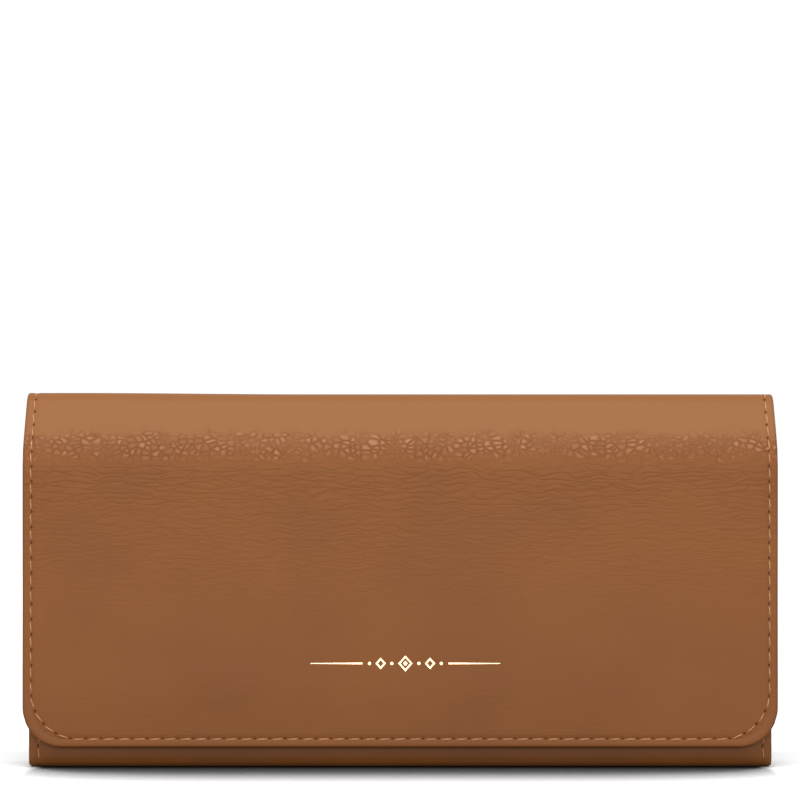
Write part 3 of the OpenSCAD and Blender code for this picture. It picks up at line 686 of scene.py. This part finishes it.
stitching = {"pitch": 3.85, "threadLong": 2.55, "threadWide": 0.36, "threadHigh": 0.26, "slant": 5.0,
             "holeRadius": 0.38, "holeLift": 0.03, "besideHoles": 0.22, "cornerRadius": 12.0,
             "frontHalf": 89.5}


def sewSeam(name, spec, places):
    # places are (s, t, ds, dt): a point on the face and the way the seam runs there
    bm = bmesh.new()
    pitch = stitching["pitch"]
    size = Vector((stitching["threadLong"], stitching["threadWide"], stitching["threadHigh"])) / 2 * mm
    for s, t, ds, dt in places:
        here = facePoint(spec, s, t)
        ahead = facePoint(spec, s + ds * 0.4, t + dt * 0.4)
        behind = facePoint(spec, s - ds * 0.4, t - dt * 0.4)
        run = (ahead - behind).normalized()
        out = spec["path"](t)[1]
        out = (out - run * out.dot(run)).normalized()
        turned = Matrix.Rotation(math.radians(stitching["slant"]), 3, out) @ run
        basis = Matrix((turned, out.cross(turned), out)).transposed()
        centre = here + (out * 0.05 - basis.col[1] * stitching["besideHoles"]) * mm
        lying = Matrix.Rotation(math.pi / 2, 4, "Y")
        made = bmesh.ops.create_uvsphere(bm, u_segments=6, v_segments=6, radius=1, matrix=lying)["verts"]
        for v in made:
            # a thread's ends are blunter than an egg's
            blunt = math.copysign(abs(v.co.x) ** 0.75, v.co.x)
            sunk = 0.1 * mm * blunt ** 4
            v.co = centre + basis @ Vector((blunt * size.x, v.co.y * size.y, v.co.z * size.z - sunk))
        end = facePoint(spec, s + ds * pitch / 2, t + dt * pitch / 2)
        # painted shade: a dark disc at the hole the thread runs into
        place = Matrix.Translation(end + out * stitching["holeLift"] * mm) @ basis.to_4x4()
        hole = bmesh.ops.create_circle(bm, cap_ends=True, segments=8, radius=stitching["holeRadius"] * mm,
                                       matrix=place)["verts"]
        for f in {f for v in hole for f in v.link_faces}:
            f.material_index = 1
            f.normal_update()
            if f.normal.dot(out) < 0:
                f.normal_flip()
    return finishPiece(bm, name, [threadMat, holeShadeMat])


def rowAlong(sideOf, t0, t1):
    # places down a side whose distance from the middle is sideOf(t)
    count = round((t1 - t0) / stitching["pitch"])
    step = (t1 - t0) / count
    return [(sideOf(t0 + (k + 0.5) * step), t0 + (k + 0.5) * step, 0.0, 1.0) for k in range(count)]


def rowAcross(s0, s1, t):
    count = round(abs(s1 - s0) / stitching["pitch"])
    step = (s1 - s0) / count
    return [(s0 + (k + 0.5) * step, t, math.copysign(1.0, s1 - s0), 0.0) for k in range(count)]


def edgeRows(spec, t0, t1):
    rows = []
    for side in (-1, 1):
        rows += rowAlong(lambda t: side * (spec["half"](t) - cover["seamInset"]), t0, t1)
    return rows


def flapSeamPlaces():
    # down the left side, round the corner, along the lower edge, round the other corner and up
    spec, inset = flapSpec, cover["seamInset"]
    r = stitching["cornerRadius"]
    turnAt = spec["end"] - inset - r
    flat = spec["half"](spec["end"]) - inset - r
    quarter = math.pi * r / 2
    total = 2 * turnAt + 2 * quarter + 2 * flat
    count = round(total / stitching["pitch"])
    places = []
    for k in range(count):
        u = (k + 0.5) * total / count
        if u < turnAt:
            places.append((inset - spec["half"](u), u, 0.0, 1.0))
        elif u < turnAt + quarter:
            a = (u - turnAt) / r
            places.append((-flat - r * math.cos(a), turnAt + r * math.sin(a), math.sin(a), math.cos(a)))
        elif u < turnAt + quarter + 2 * flat:
            places.append((u - turnAt - quarter - flat, spec["end"] - inset, 1.0, 0.0))
        elif u < turnAt + 2 * quarter + 2 * flat:
            a = (u - turnAt - quarter - 2 * flat) / r
            places.append((flat + r * math.sin(a), turnAt + r * math.cos(a), math.cos(a), -math.sin(a)))
        else:
            t = total - u
            places.append((spec["half"](t) - inset, t, 0.0, -1.0))
    return places


flapSeam = sewSeam("flap_seam_thread", flapSpec, flapSeamPlaces())
backSeam = sewSeam("back_seam_thread", backSpec, edgeRows(backSpec, 0.4, backDown + 4.4))
frontSeam = sewSeam("front_seam_thread", frontSpec, edgeRows(frontSpec, frontLevel + 3.0, frontEnd - 2.6)
                    + rowAcross(-stitching["frontHalf"], stitching["frontHalf"],
                                frontEnd - cover["seamInset"]))
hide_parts("flap_stitching", "spine_stitching")
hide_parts("back_stitching", "spine_stitching")
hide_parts("front_stitching")
print("seams sewn")


# bake each cover, lining and seam piece where it stands; the real hide bends half way down each leaning side
# of the top fold, and round the front foot
for piece in (flapCover, flapLining, flapSeam):
    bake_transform(piece)
for piece in (backCover, backLining, backSeam):
    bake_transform(piece)
for piece in (frontCover, frontLining, frontSeam):
    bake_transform(piece)


ornament = {"middle": 1.3, "height": 26.5, "barFrom": 10.8, "barLong": 13.0, "barHigh": 0.42, "barSteps": 6,
            "big": 2.0, "small": 1.1, "smallAt": 6.2, "dot": 0.42, "dotsAt": (3.4, 9.0), "slim": 0.9,
            "lift": 0.03}


def stampFoil():
    # a plain line ornament, stamped level across the flap: bars, lozenges and dots
    bm = bmesh.new()

    def press(outline):
        # one filled outline, laid on the face
        level = topLength + cover["shoulderTop"] - ornament["height"]
        corners = [bm.verts.new(facePoint(flapSpec, ornament["middle"] + x, level - h, ornament["lift"]))
                   for x, h in outline]
        f = bm.faces.new(corners)
        f.normal_update()
        if f.normal.y > 0:
            f.normal_flip()

    def lozenge(x, r, hollow=0.0):
        tips = [(ornament["slim"], 0), (0, 1), (-ornament["slim"], 0), (0, -1)]
        if not hollow:
            press([(x + a * r, b * r) for a, b in tips])
            return
        for (a, b), (c, d) in zip(tips, tips[1:] + tips[:1]):
            press([(x + a * r, b * r), (x + c * r, d * r), (x + c * hollow, d * hollow),
                   (x + a * hollow, b * hollow)])

    lozenge(0.0, ornament["big"], ornament["big"] - 0.6)
    lozenge(0.0, ornament["small"] * 0.6)
    for side in (-1, 1):
        for x in ornament["dotsAt"]:
            turns = [a * math.pi / 4 for a in range(8)]
            press([(side * x + ornament["dot"] * math.cos(a), ornament["dot"] * math.sin(a)) for a in turns])
        lozenge(side * ornament["smallAt"], ornament["small"] + 0.35, ornament["small"] - 0.25)
        steps = ornament["barSteps"]
        for k in range(steps):
            x0, x1 = (ornament["barFrom"] + ornament["barLong"] * q / steps for q in (k, k + 1))
            h0, h1 = (ornament["barHigh"] / 2 * (1 - 0.6 * q / steps) for q in (k, k + 1))
            press([(side * x0, -h0), (side * x1, -h1), (side * x1, h1), (side * x0, h0)])
    return finishPiece(bm, "flap_foil_ornament", [foil], smooth=False)


foilOrnament = stampFoil()
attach(foilOrnament, "flap")
print("foil stamped")


pocket = {"frontY": -0.3, "backY": 5.6, "foot": 4.0, "top": 78.0, "half": 86.0, "thick": 0.8,
          "sideThick": 0.6}
pocketMiddle = (pocket["frontY"] + pocket["backY"]) / 2
pocketRadius = (pocket["backY"] - pocket["frontY"]) / 2
pocketDrop = pocket["top"] - pocket["foot"] - pocketRadius
pocketTurn = math.pi * pocketRadius


def pocketPath(t):
    # down the front, round the foot and up the back
    if t < pocketDrop:
        return Vector((0, pocket["frontY"], pocket["top"] - t)), Vector((0, -1, 0))
    a = (t - pocketDrop) / pocketRadius
    if a < math.pi:
        out = Vector((0, -math.cos(a), -math.sin(a)))
        return Vector((0, pocketMiddle, pocket["foot"] + pocketRadius)) + out * pocketRadius, out
    return Vector((0, pocket["backY"],
                   pocket["foot"] + pocketRadius + t - pocketDrop - pocketTurn)), Vector((0, 1, 0))


def constant(value):
    return lambda t: value


pocketSpec = {"path": pocketPath, "half": constant(pocket["half"]), "start": 0.0,
              "end": 2 * pocketDrop + pocketTurn, "startIsEdge": True, "endIsEdge": True, "outer": 0.0,
              "inner": pocket["thick"], "roll": 0.38, "step": 2.6, "offset": 2.0, "seed": 3.3}
pocketHide = layLength("pocket_hide", pocketSpec, [thinHide])
pocketSack = layLength("pocket_sack_cloth", {**pocketSpec, "outer": pocket["thick"],
                                             "inner": pocket["thick"] + 0.3, "roll": 0.14,
                                             "start": 11.6, "end": pocketSpec["end"] - 11.6, "step": 4.0,
                                             "half": constant(pocket["half"] - 0.1)}, [pocketCloth])
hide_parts("pocket_leather")
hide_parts("pocket_lining")
pocketPieces = [pocketHide, pocketSack]

for side, word in ((-1, "left"), (1, "right")):
    sidePath = lambda t, side=side: (Vector((side * (pocket["half"] + pocket["sideThick"]), pocketMiddle,
                                             pocket["top"] - 1 - t)),
                                     Vector((side, 0, 0)))
    endCap = layLength("pocket_end_" + word, {"path": sidePath, "across": Vector((0, 1, 0)),
                                              "half": constant(pocketRadius), "start": 0.0,
                                              "end": pocket["top"] - 1 - pocket["foot"],
                                              "startIsEdge": True, "endIsEdge": True,
                                              "corner": pocketRadius, "outer": 0.0,
                                              "inner": pocket["sideThick"], "roll": 0.28, "step": 2.0,
                                              "offset": 11.0},
                       [thinHide])
    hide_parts("pocket_side_" + word)
    pocketPieces.append(endCap)

slots = {"count": 3, "thick": 0.4, "apart": 0.02, "step": 9.0, "edgeRoll": 0.19,
         "flapHalf": 88.0, "flapMouth": 26.0, "flapTop": 73.6, "flapFace": -10.2,
         "pocketHalf": 82.0, "pocketMouth": 64.0, "pocketFoot": 8.0,
         "rowInset": 2.0, "rowFrom": 0.4, "rowShort": 0.2, "rowEnd": 1.0}


def makeCardSlot(panel, i, path, half, length, offset, row):
    # one strip of hide and its three upright rows of stitches, from row[0] to row[1]
    spec = {"path": path, "half": constant(half), "start": 0.0, "end": length,
            "startIsEdge": True, "endIsEdge": True,
            "outer": 0.0, "inner": slots["thick"] - slots["apart"],
            "roll": slots["edgeRoll"], "step": 3.0, "offset": offset}
    strip = layLength("%s_slot_%d" % (panel, i + 1), spec, [thinHide])
    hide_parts("%s_card_slot_%d" % (panel, i + 1))
    rows = []
    for s in (slots["rowInset"] - half, 0.0, half - slots["rowInset"]):
        rows += rowAlong(constant(s), row[0], row[1])
    threads = sewSeam("%s_slot_thread_%d" % (panel, i + 1), spec, rows)
    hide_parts("%s_slot_stitching" % panel)
    return [strip, threads]


flapPieces = [foilOrnament]
for i in range(slots["count"]):
    last = i == slots["count"] - 1
    face = slots["flapFace"] + (i + 1) * slots["thick"]
    length = slots["flapTop"] - slots["flapMouth"] - i * slots["step"]
    row = (slots["rowEnd"] if last else length - slots["step"] + slots["rowShort"], length - slots["rowFrom"])
    flapPieces += makeCardSlot(
        "flap", i, lambda t, face=face: (Vector((0, face, slots["flapTop"] - t)), Vector((0, 1, 0))),
        slots["flapHalf"], length, 3.0 * i, row)

    face = pocket["frontY"] - (i + 1) * slots["thick"]
    mouth = slots["pocketMouth"] - i * slots["step"]
    length = mouth - slots["pocketFoot"]
    row = (slots["rowFrom"], length - slots["rowEnd"] if last else slots["step"] - slots["rowShort"])
    pocketPieces += makeCardSlot(
        "pocket", i, lambda t, face=face, mouth=mouth: (Vector((0, face, mouth - t)), Vector((0, -1, 0))),
        slots["pocketHalf"], length, 14.0 + 3.0 * i, row)
print("pocket and card slots laid")


zipper = {"tapeThick": 0.4, "tapeHigh": 11.6, "tapeTop": 78.2, "tapeHalf": 85.0,
          "long": 132.0, "pitch": 2.2, "toothWide": 0.95, "toothHigh": 2.0, "toothFoot": 76.7,
          "toothEdge": 0.2, "gap": 0.5, "bead": 0.35, "beadHigh": 1.0, "seamInset": 2.4, "seamEnd": 3.0}
toothReach = pocketRadius - pocket["thick"] - zipper["tapeThick"] - zipper["gap"] / 2


def addBlock(bm, centre, size):
    # a box of the given size in mm, returned as its corners
    matrix = Matrix.Translation(Vector(centre) * mm) @ Matrix.Diagonal((*size, 1))
    return bmesh.ops.create_cube(bm, size=mm, matrix=matrix)["verts"]


for side, word in ((-1, "front"), (1, "rear")):
    face = pocketMiddle + side * (toothReach + zipper["gap"] / 2)
    tapePath = lambda t, face=face, side=side: (Vector((0, face, zipper["tapeTop"] - t)),
                                                Vector((0, -side, 0)))
    tape = layLength("zip_tape_cloth_" + word, {"path": tapePath, "half": constant(zipper["tapeHalf"]),
                                                "start": 0.0, "end": zipper["tapeHigh"],
                                                "startIsEdge": True, "endIsEdge": True, "outer": 0.0,
                                                "inner": zipper["tapeThick"], "roll": 0.12, "step": 5.0},
                     [tapeCloth])
    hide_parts("zip_tape_" + word)

    # moulded teeth: one bevelled block each, on a bead along the tape
    bm = bmesh.new()
    middleZ = zipper["toothFoot"] + zipper["toothHigh"] / 2
    shift = 0.25 if side < 0 else 0.75
    for k in range(int(zipper["long"] / zipper["pitch"])):
        x = -zipper["long"] / 2 + (k + shift) * zipper["pitch"]
        addBlock(bm, (x, pocketMiddle + side * (zipper["gap"] + toothReach) / 2, middleZ),
                 (zipper["toothWide"], toothReach, zipper["toothHigh"]))
    bmesh.ops.bevel(bm, geom=bm.edges[:], offset=zipper["toothEdge"] * mm, segments=2, profile=0.5,
                    affect="EDGES", material=-1)
    beadY = pocketMiddle + side * (zipper["gap"] / 2 + toothReach - zipper["bead"] / 2)
    addBlock(bm, (0, beadY, middleZ), (zipper["long"], zipper["bead"], zipper["beadHigh"]))
    teeth = finishPiece(bm, "zip_teeth_metal_" + word, [brass], smooth=False)
    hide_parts("zip_teeth_" + word)
    pocketPieces += [tape, teeth]

seamReach = pocket["half"] - zipper["seamEnd"]
zipRows = rowAcross(-seamReach, seamReach, zipper["seamInset"])
zipRows += rowAcross(seamReach, -seamReach, pocketSpec["end"] - zipper["seamInset"])
zipSeam = sewSeam("zip_seam_thread", pocketSpec, zipRows)
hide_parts("zip_stitching")
pocketPieces.append(zipSeam)
for piece in pocketPieces:
    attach(piece, "zip_pocket")
for piece in flapPieces[1:]:
    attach(piece, "flap")
print("zip sewn in")


runner = {"x": 61.0, "long": 9.0, "topWide": 6.4, "lowWide": 2.9, "plate": 0.8, "topZ": 78.95,
          "lowZ": 75.4, "web": 0.3, "bridgeOut": 2.6, "bridgeIn": 1.5, "bridgeWide": 2.0,
          "edge": 0.22, "cornerPart": 0.3}
bm = bmesh.new()
for z, wide in ((runner["topZ"], runner["topWide"]), (runner["lowZ"], runner["lowWide"])):
    made = addBlock(bm, (runner["x"], pocketMiddle, z + runner["plate"] / 2),
                    (runner["long"], wide, runner["plate"]))
    sides = {e for v in made for e in v.link_edges}
    upright = [e for e in sides if abs(e.verts[0].co.z - e.verts[1].co.z) > 0.5 * mm]
    bmesh.ops.bevel(bm, geom=upright, offset=wide * runner["cornerPart"] * mm, segments=6, profile=0.5,
                    affect="EDGES", material=-1)
rims = [e for e in bm.edges if abs(e.verts[0].co.z - e.verts[1].co.z) < 0.01 * mm]
bmesh.ops.bevel(bm, geom=rims, offset=runner["edge"] * mm, segments=3, profile=0.5, affect="EDGES",
                material=-1)
addBlock(bm, (runner["x"], pocketMiddle, (runner["topZ"] + runner["lowZ"] + runner["plate"]) / 2),
         (runner["long"] / 2, runner["web"], runner["topZ"] - runner["lowZ"]))
# the bridge the ring hangs on: a flat bar turned through half a circle
foot = Vector((runner["x"], pocketMiddle, runner["topZ"] + runner["plate"])) * mm
barWide = runner["bridgeOut"] - runner["bridgeIn"]
barPlace = Matrix.Translation(foot + rightward * (runner["bridgeIn"] + barWide / 2) * mm)
barSize = Matrix.Diagonal((barWide * mm, runner["bridgeWide"] * mm, 1, 1))
bar = bmesh.ops.create_grid(bm, x_segments=1, y_segments=1, size=0.5, matrix=barPlace @ barSize)["verts"]
barFaces = list({f for v in bar for f in v.link_faces})
barEdges = list({e for v in bar for e in v.link_edges})
bmesh.ops.spin(bm, geom=bar + barEdges + barFaces, cent=foot, axis=(0, -1, 0), angle=math.pi, steps=16,
               use_duplicate=False)
bmesh.ops.recalc_face_normals(bm, faces=bm.faces[:])
sliderPiece = finishPiece(bm, "zip_slider_metal", [brass], smooth=False)
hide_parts("zip_slider")
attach(sliderPiece, "slider")

tab = {"x": 61.0, "faceY": -3.2, "thick": 1.3, "wide": 7.0, "eye": 80.4, "long": 30.0, "head": 1.95,
       "neck": 3.0, "seamHalf": 2.4, "seamFrom": 7.5, "seamTo": 27.0}


def tabHalf(t):
    head = tab["head"]
    if t < head:
        return max(0.05, math.sqrt(max(0.0, head * head - (head - t) ** 2)))
    return head + (tab["wide"] / 2 - head) * ease((t - head) / tab["neck"])


tabSpec = {"path": lambda t: (Vector((tab["x"], tab["faceY"], tab["eye"] + tab["head"] - t)),
                              Vector((0, -1, 0))),
           "half": tabHalf, "start": 0.0, "end": tab["long"] + tab["head"],
           "startIsEdge": True, "endIsEdge": True, "corner": tab["wide"] / 2,
           "outer": 0.0, "inner": tab["thick"], "roll": 0.5, "step": 1.0, "offset": 8.0}
tabHide = layLength("pull_tab_hide", tabSpec, [thinHide])
tabRows = []
for side in (-1, 1):
    tabRows += rowAlong(constant(side * tab["seamHalf"]), tab["seamFrom"], tab["seamTo"])
tabSeam = sewSeam("pull_tab_thread", tabSpec, tabRows)
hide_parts("pull_tab")
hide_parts("pull_tab")
for piece in (tabHide, tabSeam):
    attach(piece, "pull")
print("slider and pull made")


gusset = {"thick": 0.6, "foot": 5.4, "bend": 1.4,
          "rear": [(93.3, 9.85), (88.5, 9.85), (82.8, 8.2), (82.8, 7.6), (86.9, 6.0)], "rearTop": 76.5,
          # y where the bend towards the moving panel starts and ends
          "rearBend": (9.8, 6.2), "frontBend": (2.3, -5.8),
          "front": [(93.3, -5.45), (88.5, -5.45), (82.8, -3.2), (82.8, -2.9), (87.2, -1.35)],
          "frontTop": 74.5}


def roundedPath(corners, bend, side, middleZ):
    # a folded line seen from above, its corners rounded, measured along its length
    line = [Vector(corners[0])]
    for a, b, c in zip(corners, corners[1:], corners[2:]):
        a, b, c = Vector(a), Vector(b), Vector(c)
        into, away = min(bend, (b - a).length / 2), min(bend, (c - b).length / 2)
        p, q = b + (a - b).normalized() * into, b + (c - b).normalized() * away
        line += [p * (1 - k) ** 2 + b * 2 * k * (1 - k) + q * k * k for k in (0, 0.25, 0.5, 0.75, 1)]
    line.append(Vector(corners[-1]))
    reach = [0.0]
    for p, q in zip(line, line[1:]):
        reach.append(reach[-1] + (q - p).length)

    def path(t):
        k = max(i for i in range(len(reach) - 1) if reach[i] <= t or i == 0)
        while k < len(reach) - 2 and reach[k + 1] - reach[k] < 1e-6:
            k += 1
        share = (t - reach[k]) / max(1e-6, reach[k + 1] - reach[k])
        point = line[k].lerp(line[k + 1], share)
        ahead = (line[min(k + 2, len(line) - 1)] - line[max(k - 1, 0)]).normalized()
        return Vector((side * point.x, point.y, middleZ)), Vector((side * ahead.y, -ahead.x, 0))
    return path, reach[-1]


for place, other in (("rear", "zip_pocket"), ("front", "front_panel")):
    for side, word in ((-1, "left"), (1, "right")):
        top = gusset[place + "Top"]
        path, length = roundedPath(gusset[place], gusset["bend"], side, (top + gusset["foot"]) / 2)
        piece = layLength("gusset_hide_%s_%s" % (place, word),
                          {"path": path, "across": Vector((0, 0, 1)),
                           "half": constant((top - gusset["foot"]) / 2), "start": 0.0, "end": length,
                           "startIsEdge": True, "endIsEdge": True, "outer": -gusset["thick"] / 2,
                           "inner": gusset["thick"] / 2, "roll": 0.28, "step": 0.6, "offset": 12.0},
                           [thinHide])
        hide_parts("gusset_%s_%s" % (place, word))
        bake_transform(piece)
print("gussets folded")


# what stays as it was turned or cut: the snap, the zip's stops, the ring and the boards
carried = {"back_board": board, "flap_board": board, "front_board": board, "snap_socket": brass,
           "snap_socket_cap": brass, "snap_stud": brass, "snap_stud_washer": brass, "zip_end_stop": brass,
           "zip_top_stop": brass, "pull_ring": brass, "pull_eyelet": brass}
for name, mat in carried.items():
    node = bpy.data.objects[name]
    node.data.materials.clear()
    node.data.materials.append(mat)
print("carried pieces finished")


studio = {"distance": 1.0, "eyeHeight": 0.0927, "frameWide": 0.20107, "centre": -0.00005, "paperHalf": 6.0}

cameraData = bpy.data.cameras.new("camera")
cameraData.sensor_width = 36.0
cameraData.lens = 36.0 * studio["distance"] / studio["frameWide"]
cameraData.clip_start = 0.01
camera = bpy.data.objects.new("camera", cameraData)
camera.location = (studio["centre"], -cover["depth"] / 2 * mm - studio["distance"], studio["eyeHeight"])
camera.rotation_euler = (math.pi / 2, 0, 0)
bpy.context.scene.collection.objects.link(camera)
bpy.context.scene.camera = camera

# paper sweep: pale, paler from 0.2 to 0.9 m out, with a painted contact shadow where the wallet stands close
# over it
sweepMat, sweepTree, sweepShader = newMaterial("white paper sweep, uncoated")
place = addNode(sweepTree, "ShaderNodeTexCoord")
fibres = addNode(sweepTree, "ShaderNodeTexNoise", {"Scale": 400.0, "Detail": 2.0},
                 {"Vector": place.outputs["Object"]})
paperTone = addNode(sweepTree, "ShaderNodeValToRGB",
                    {"stops": [(0.0, hexToLinear("b0b0b0")), (1.0, hexToLinear("b4b4b4"))]},
                    {"Fac": fibres.outputs["Fac"]})
away = addNode(sweepTree, "ShaderNodeVectorMath", {"operation": "LENGTH"}, {0: place.outputs["Object"]})
behind = addNode(sweepTree, "ShaderNodeMapRange", {"interpolation_type": "SMOOTHSTEP", 1: 0.2, 2: 0.9},
                 {0: away.outputs["Value"]})
paleBehind = addNode(sweepTree, "ShaderNodeMix", {"data_type": "RGBA", 7: hexToLinear("e6e6e6")},
                     {0: behind.outputs[0], 6: paperTone.outputs[0]})
# painted shadow: ambient occlusion darkens the paper near the wallet, cut off just past its sides
shadowOcclusion = addNode(sweepTree, "ShaderNodeAmbientOcclusion", {"samples": 16, "Distance": 0.06})
contactShadow = addNode(sweepTree, "ShaderNodeValToRGB",
                  {"stops": [(0.5, 0.03), (0.6, 0.1), (0.74, 0.45), (0.87, 0.86), (0.97, 1.0)]},
                  {"Fac": shadowOcclusion.outputs["AO"]})
split = addNode(sweepTree, "ShaderNodeSeparateXYZ", links={0: place.outputs["Object"]})
aside = addNode(sweepTree, "ShaderNodeMath", {"operation": "ABSOLUTE"}, {0: split.outputs["X"]})
beyond = addNode(sweepTree, "ShaderNodeMapRange", {"interpolation_type": "SMOOTHSTEP", 1: 0.0895, 2: 0.0955,
                                                   3: 0.0, 4: 1.0},
                 {0: aside.outputs[0]})
paintedShadowFactor = addNode(sweepTree, "ShaderNodeMath", {"operation": "MAXIMUM"},
                  {0: contactShadow.outputs[0], 1: beyond.outputs[0]})
paper = addNode(sweepTree, "ShaderNodeMix", {"data_type": "RGBA", "blend_type": "MULTIPLY", 0: 1.0},
                {6: paleBehind.outputs[2], 7: paintedShadowFactor.outputs[0]})
sweepTree.links.new(paper.outputs[2], sweepShader.inputs["Base Color"])
sweepShader.inputs["Roughness"].default_value = 0.9
sweepShader.inputs["Specular IOR Level"].default_value = 0.0
bm = bmesh.new()
bmesh.ops.create_grid(bm, x_segments=1, y_segments=1, size=studio["paperHalf"])
sweepMesh = bpy.data.meshes.new("floor")
bm.to_mesh(sweepMesh)
bm.free()
floor = bpy.data.objects.new("floor", sweepMesh)
sweepMesh.materials.append(sweepMat)
bpy.context.scene.collection.objects.link(floor)

world = bpy.data.worlds.new("soft white room")
bpy.context.scene.world = world
world.use_nodes = True
tree = world.node_tree
where = addNode(tree, "ShaderNodeTexCoord")
upward = addNode(tree, "ShaderNodeSeparateXYZ", links={0: where.outputs["Generated"]})
glow = addNode(tree, "ShaderNodeMapRange", {1: 0.0, 2: 1.0, 3: 1.02, 4: 1.7}, {0: upward.outputs["Z"]})
tree.links.new(glow.outputs[0], tree.nodes["Background"].inputs["Strength"])
tree.nodes["Background"].inputs["Color"].default_value = (1, 1, 1, 1)


def addSoftbox(name, where, aim, wide, high, power):
    data = bpy.data.lights.new(name, "AREA")
    data.shape = "RECTANGLE"
    data.size, data.size_y = wide, high
    data.energy = power
    lamp = bpy.data.objects.new(name, data)
    lamp.location = where
    lamp.rotation_euler = (Vector(aim) - Vector(where)).to_track_quat("-Z", "Y").to_euler()
    bpy.context.scene.collection.objects.link(lamp)
    return lamp


addSoftbox("overhead softbox", where=(0.0, -0.5, 1.05), aim=(0, 0, 0.05), wide=1.1, high=0.5, power=28.0)
addSoftbox("front fill", where=(0.0, -2.2, 0.3), aim=(0, 0, 0.04), wide=1.5, high=0.6, power=52.0)
bpy.context.scene.view_settings.view_transform = "Standard"
bpy.context.scene.view_settings.look = "None"
print("studio ready")
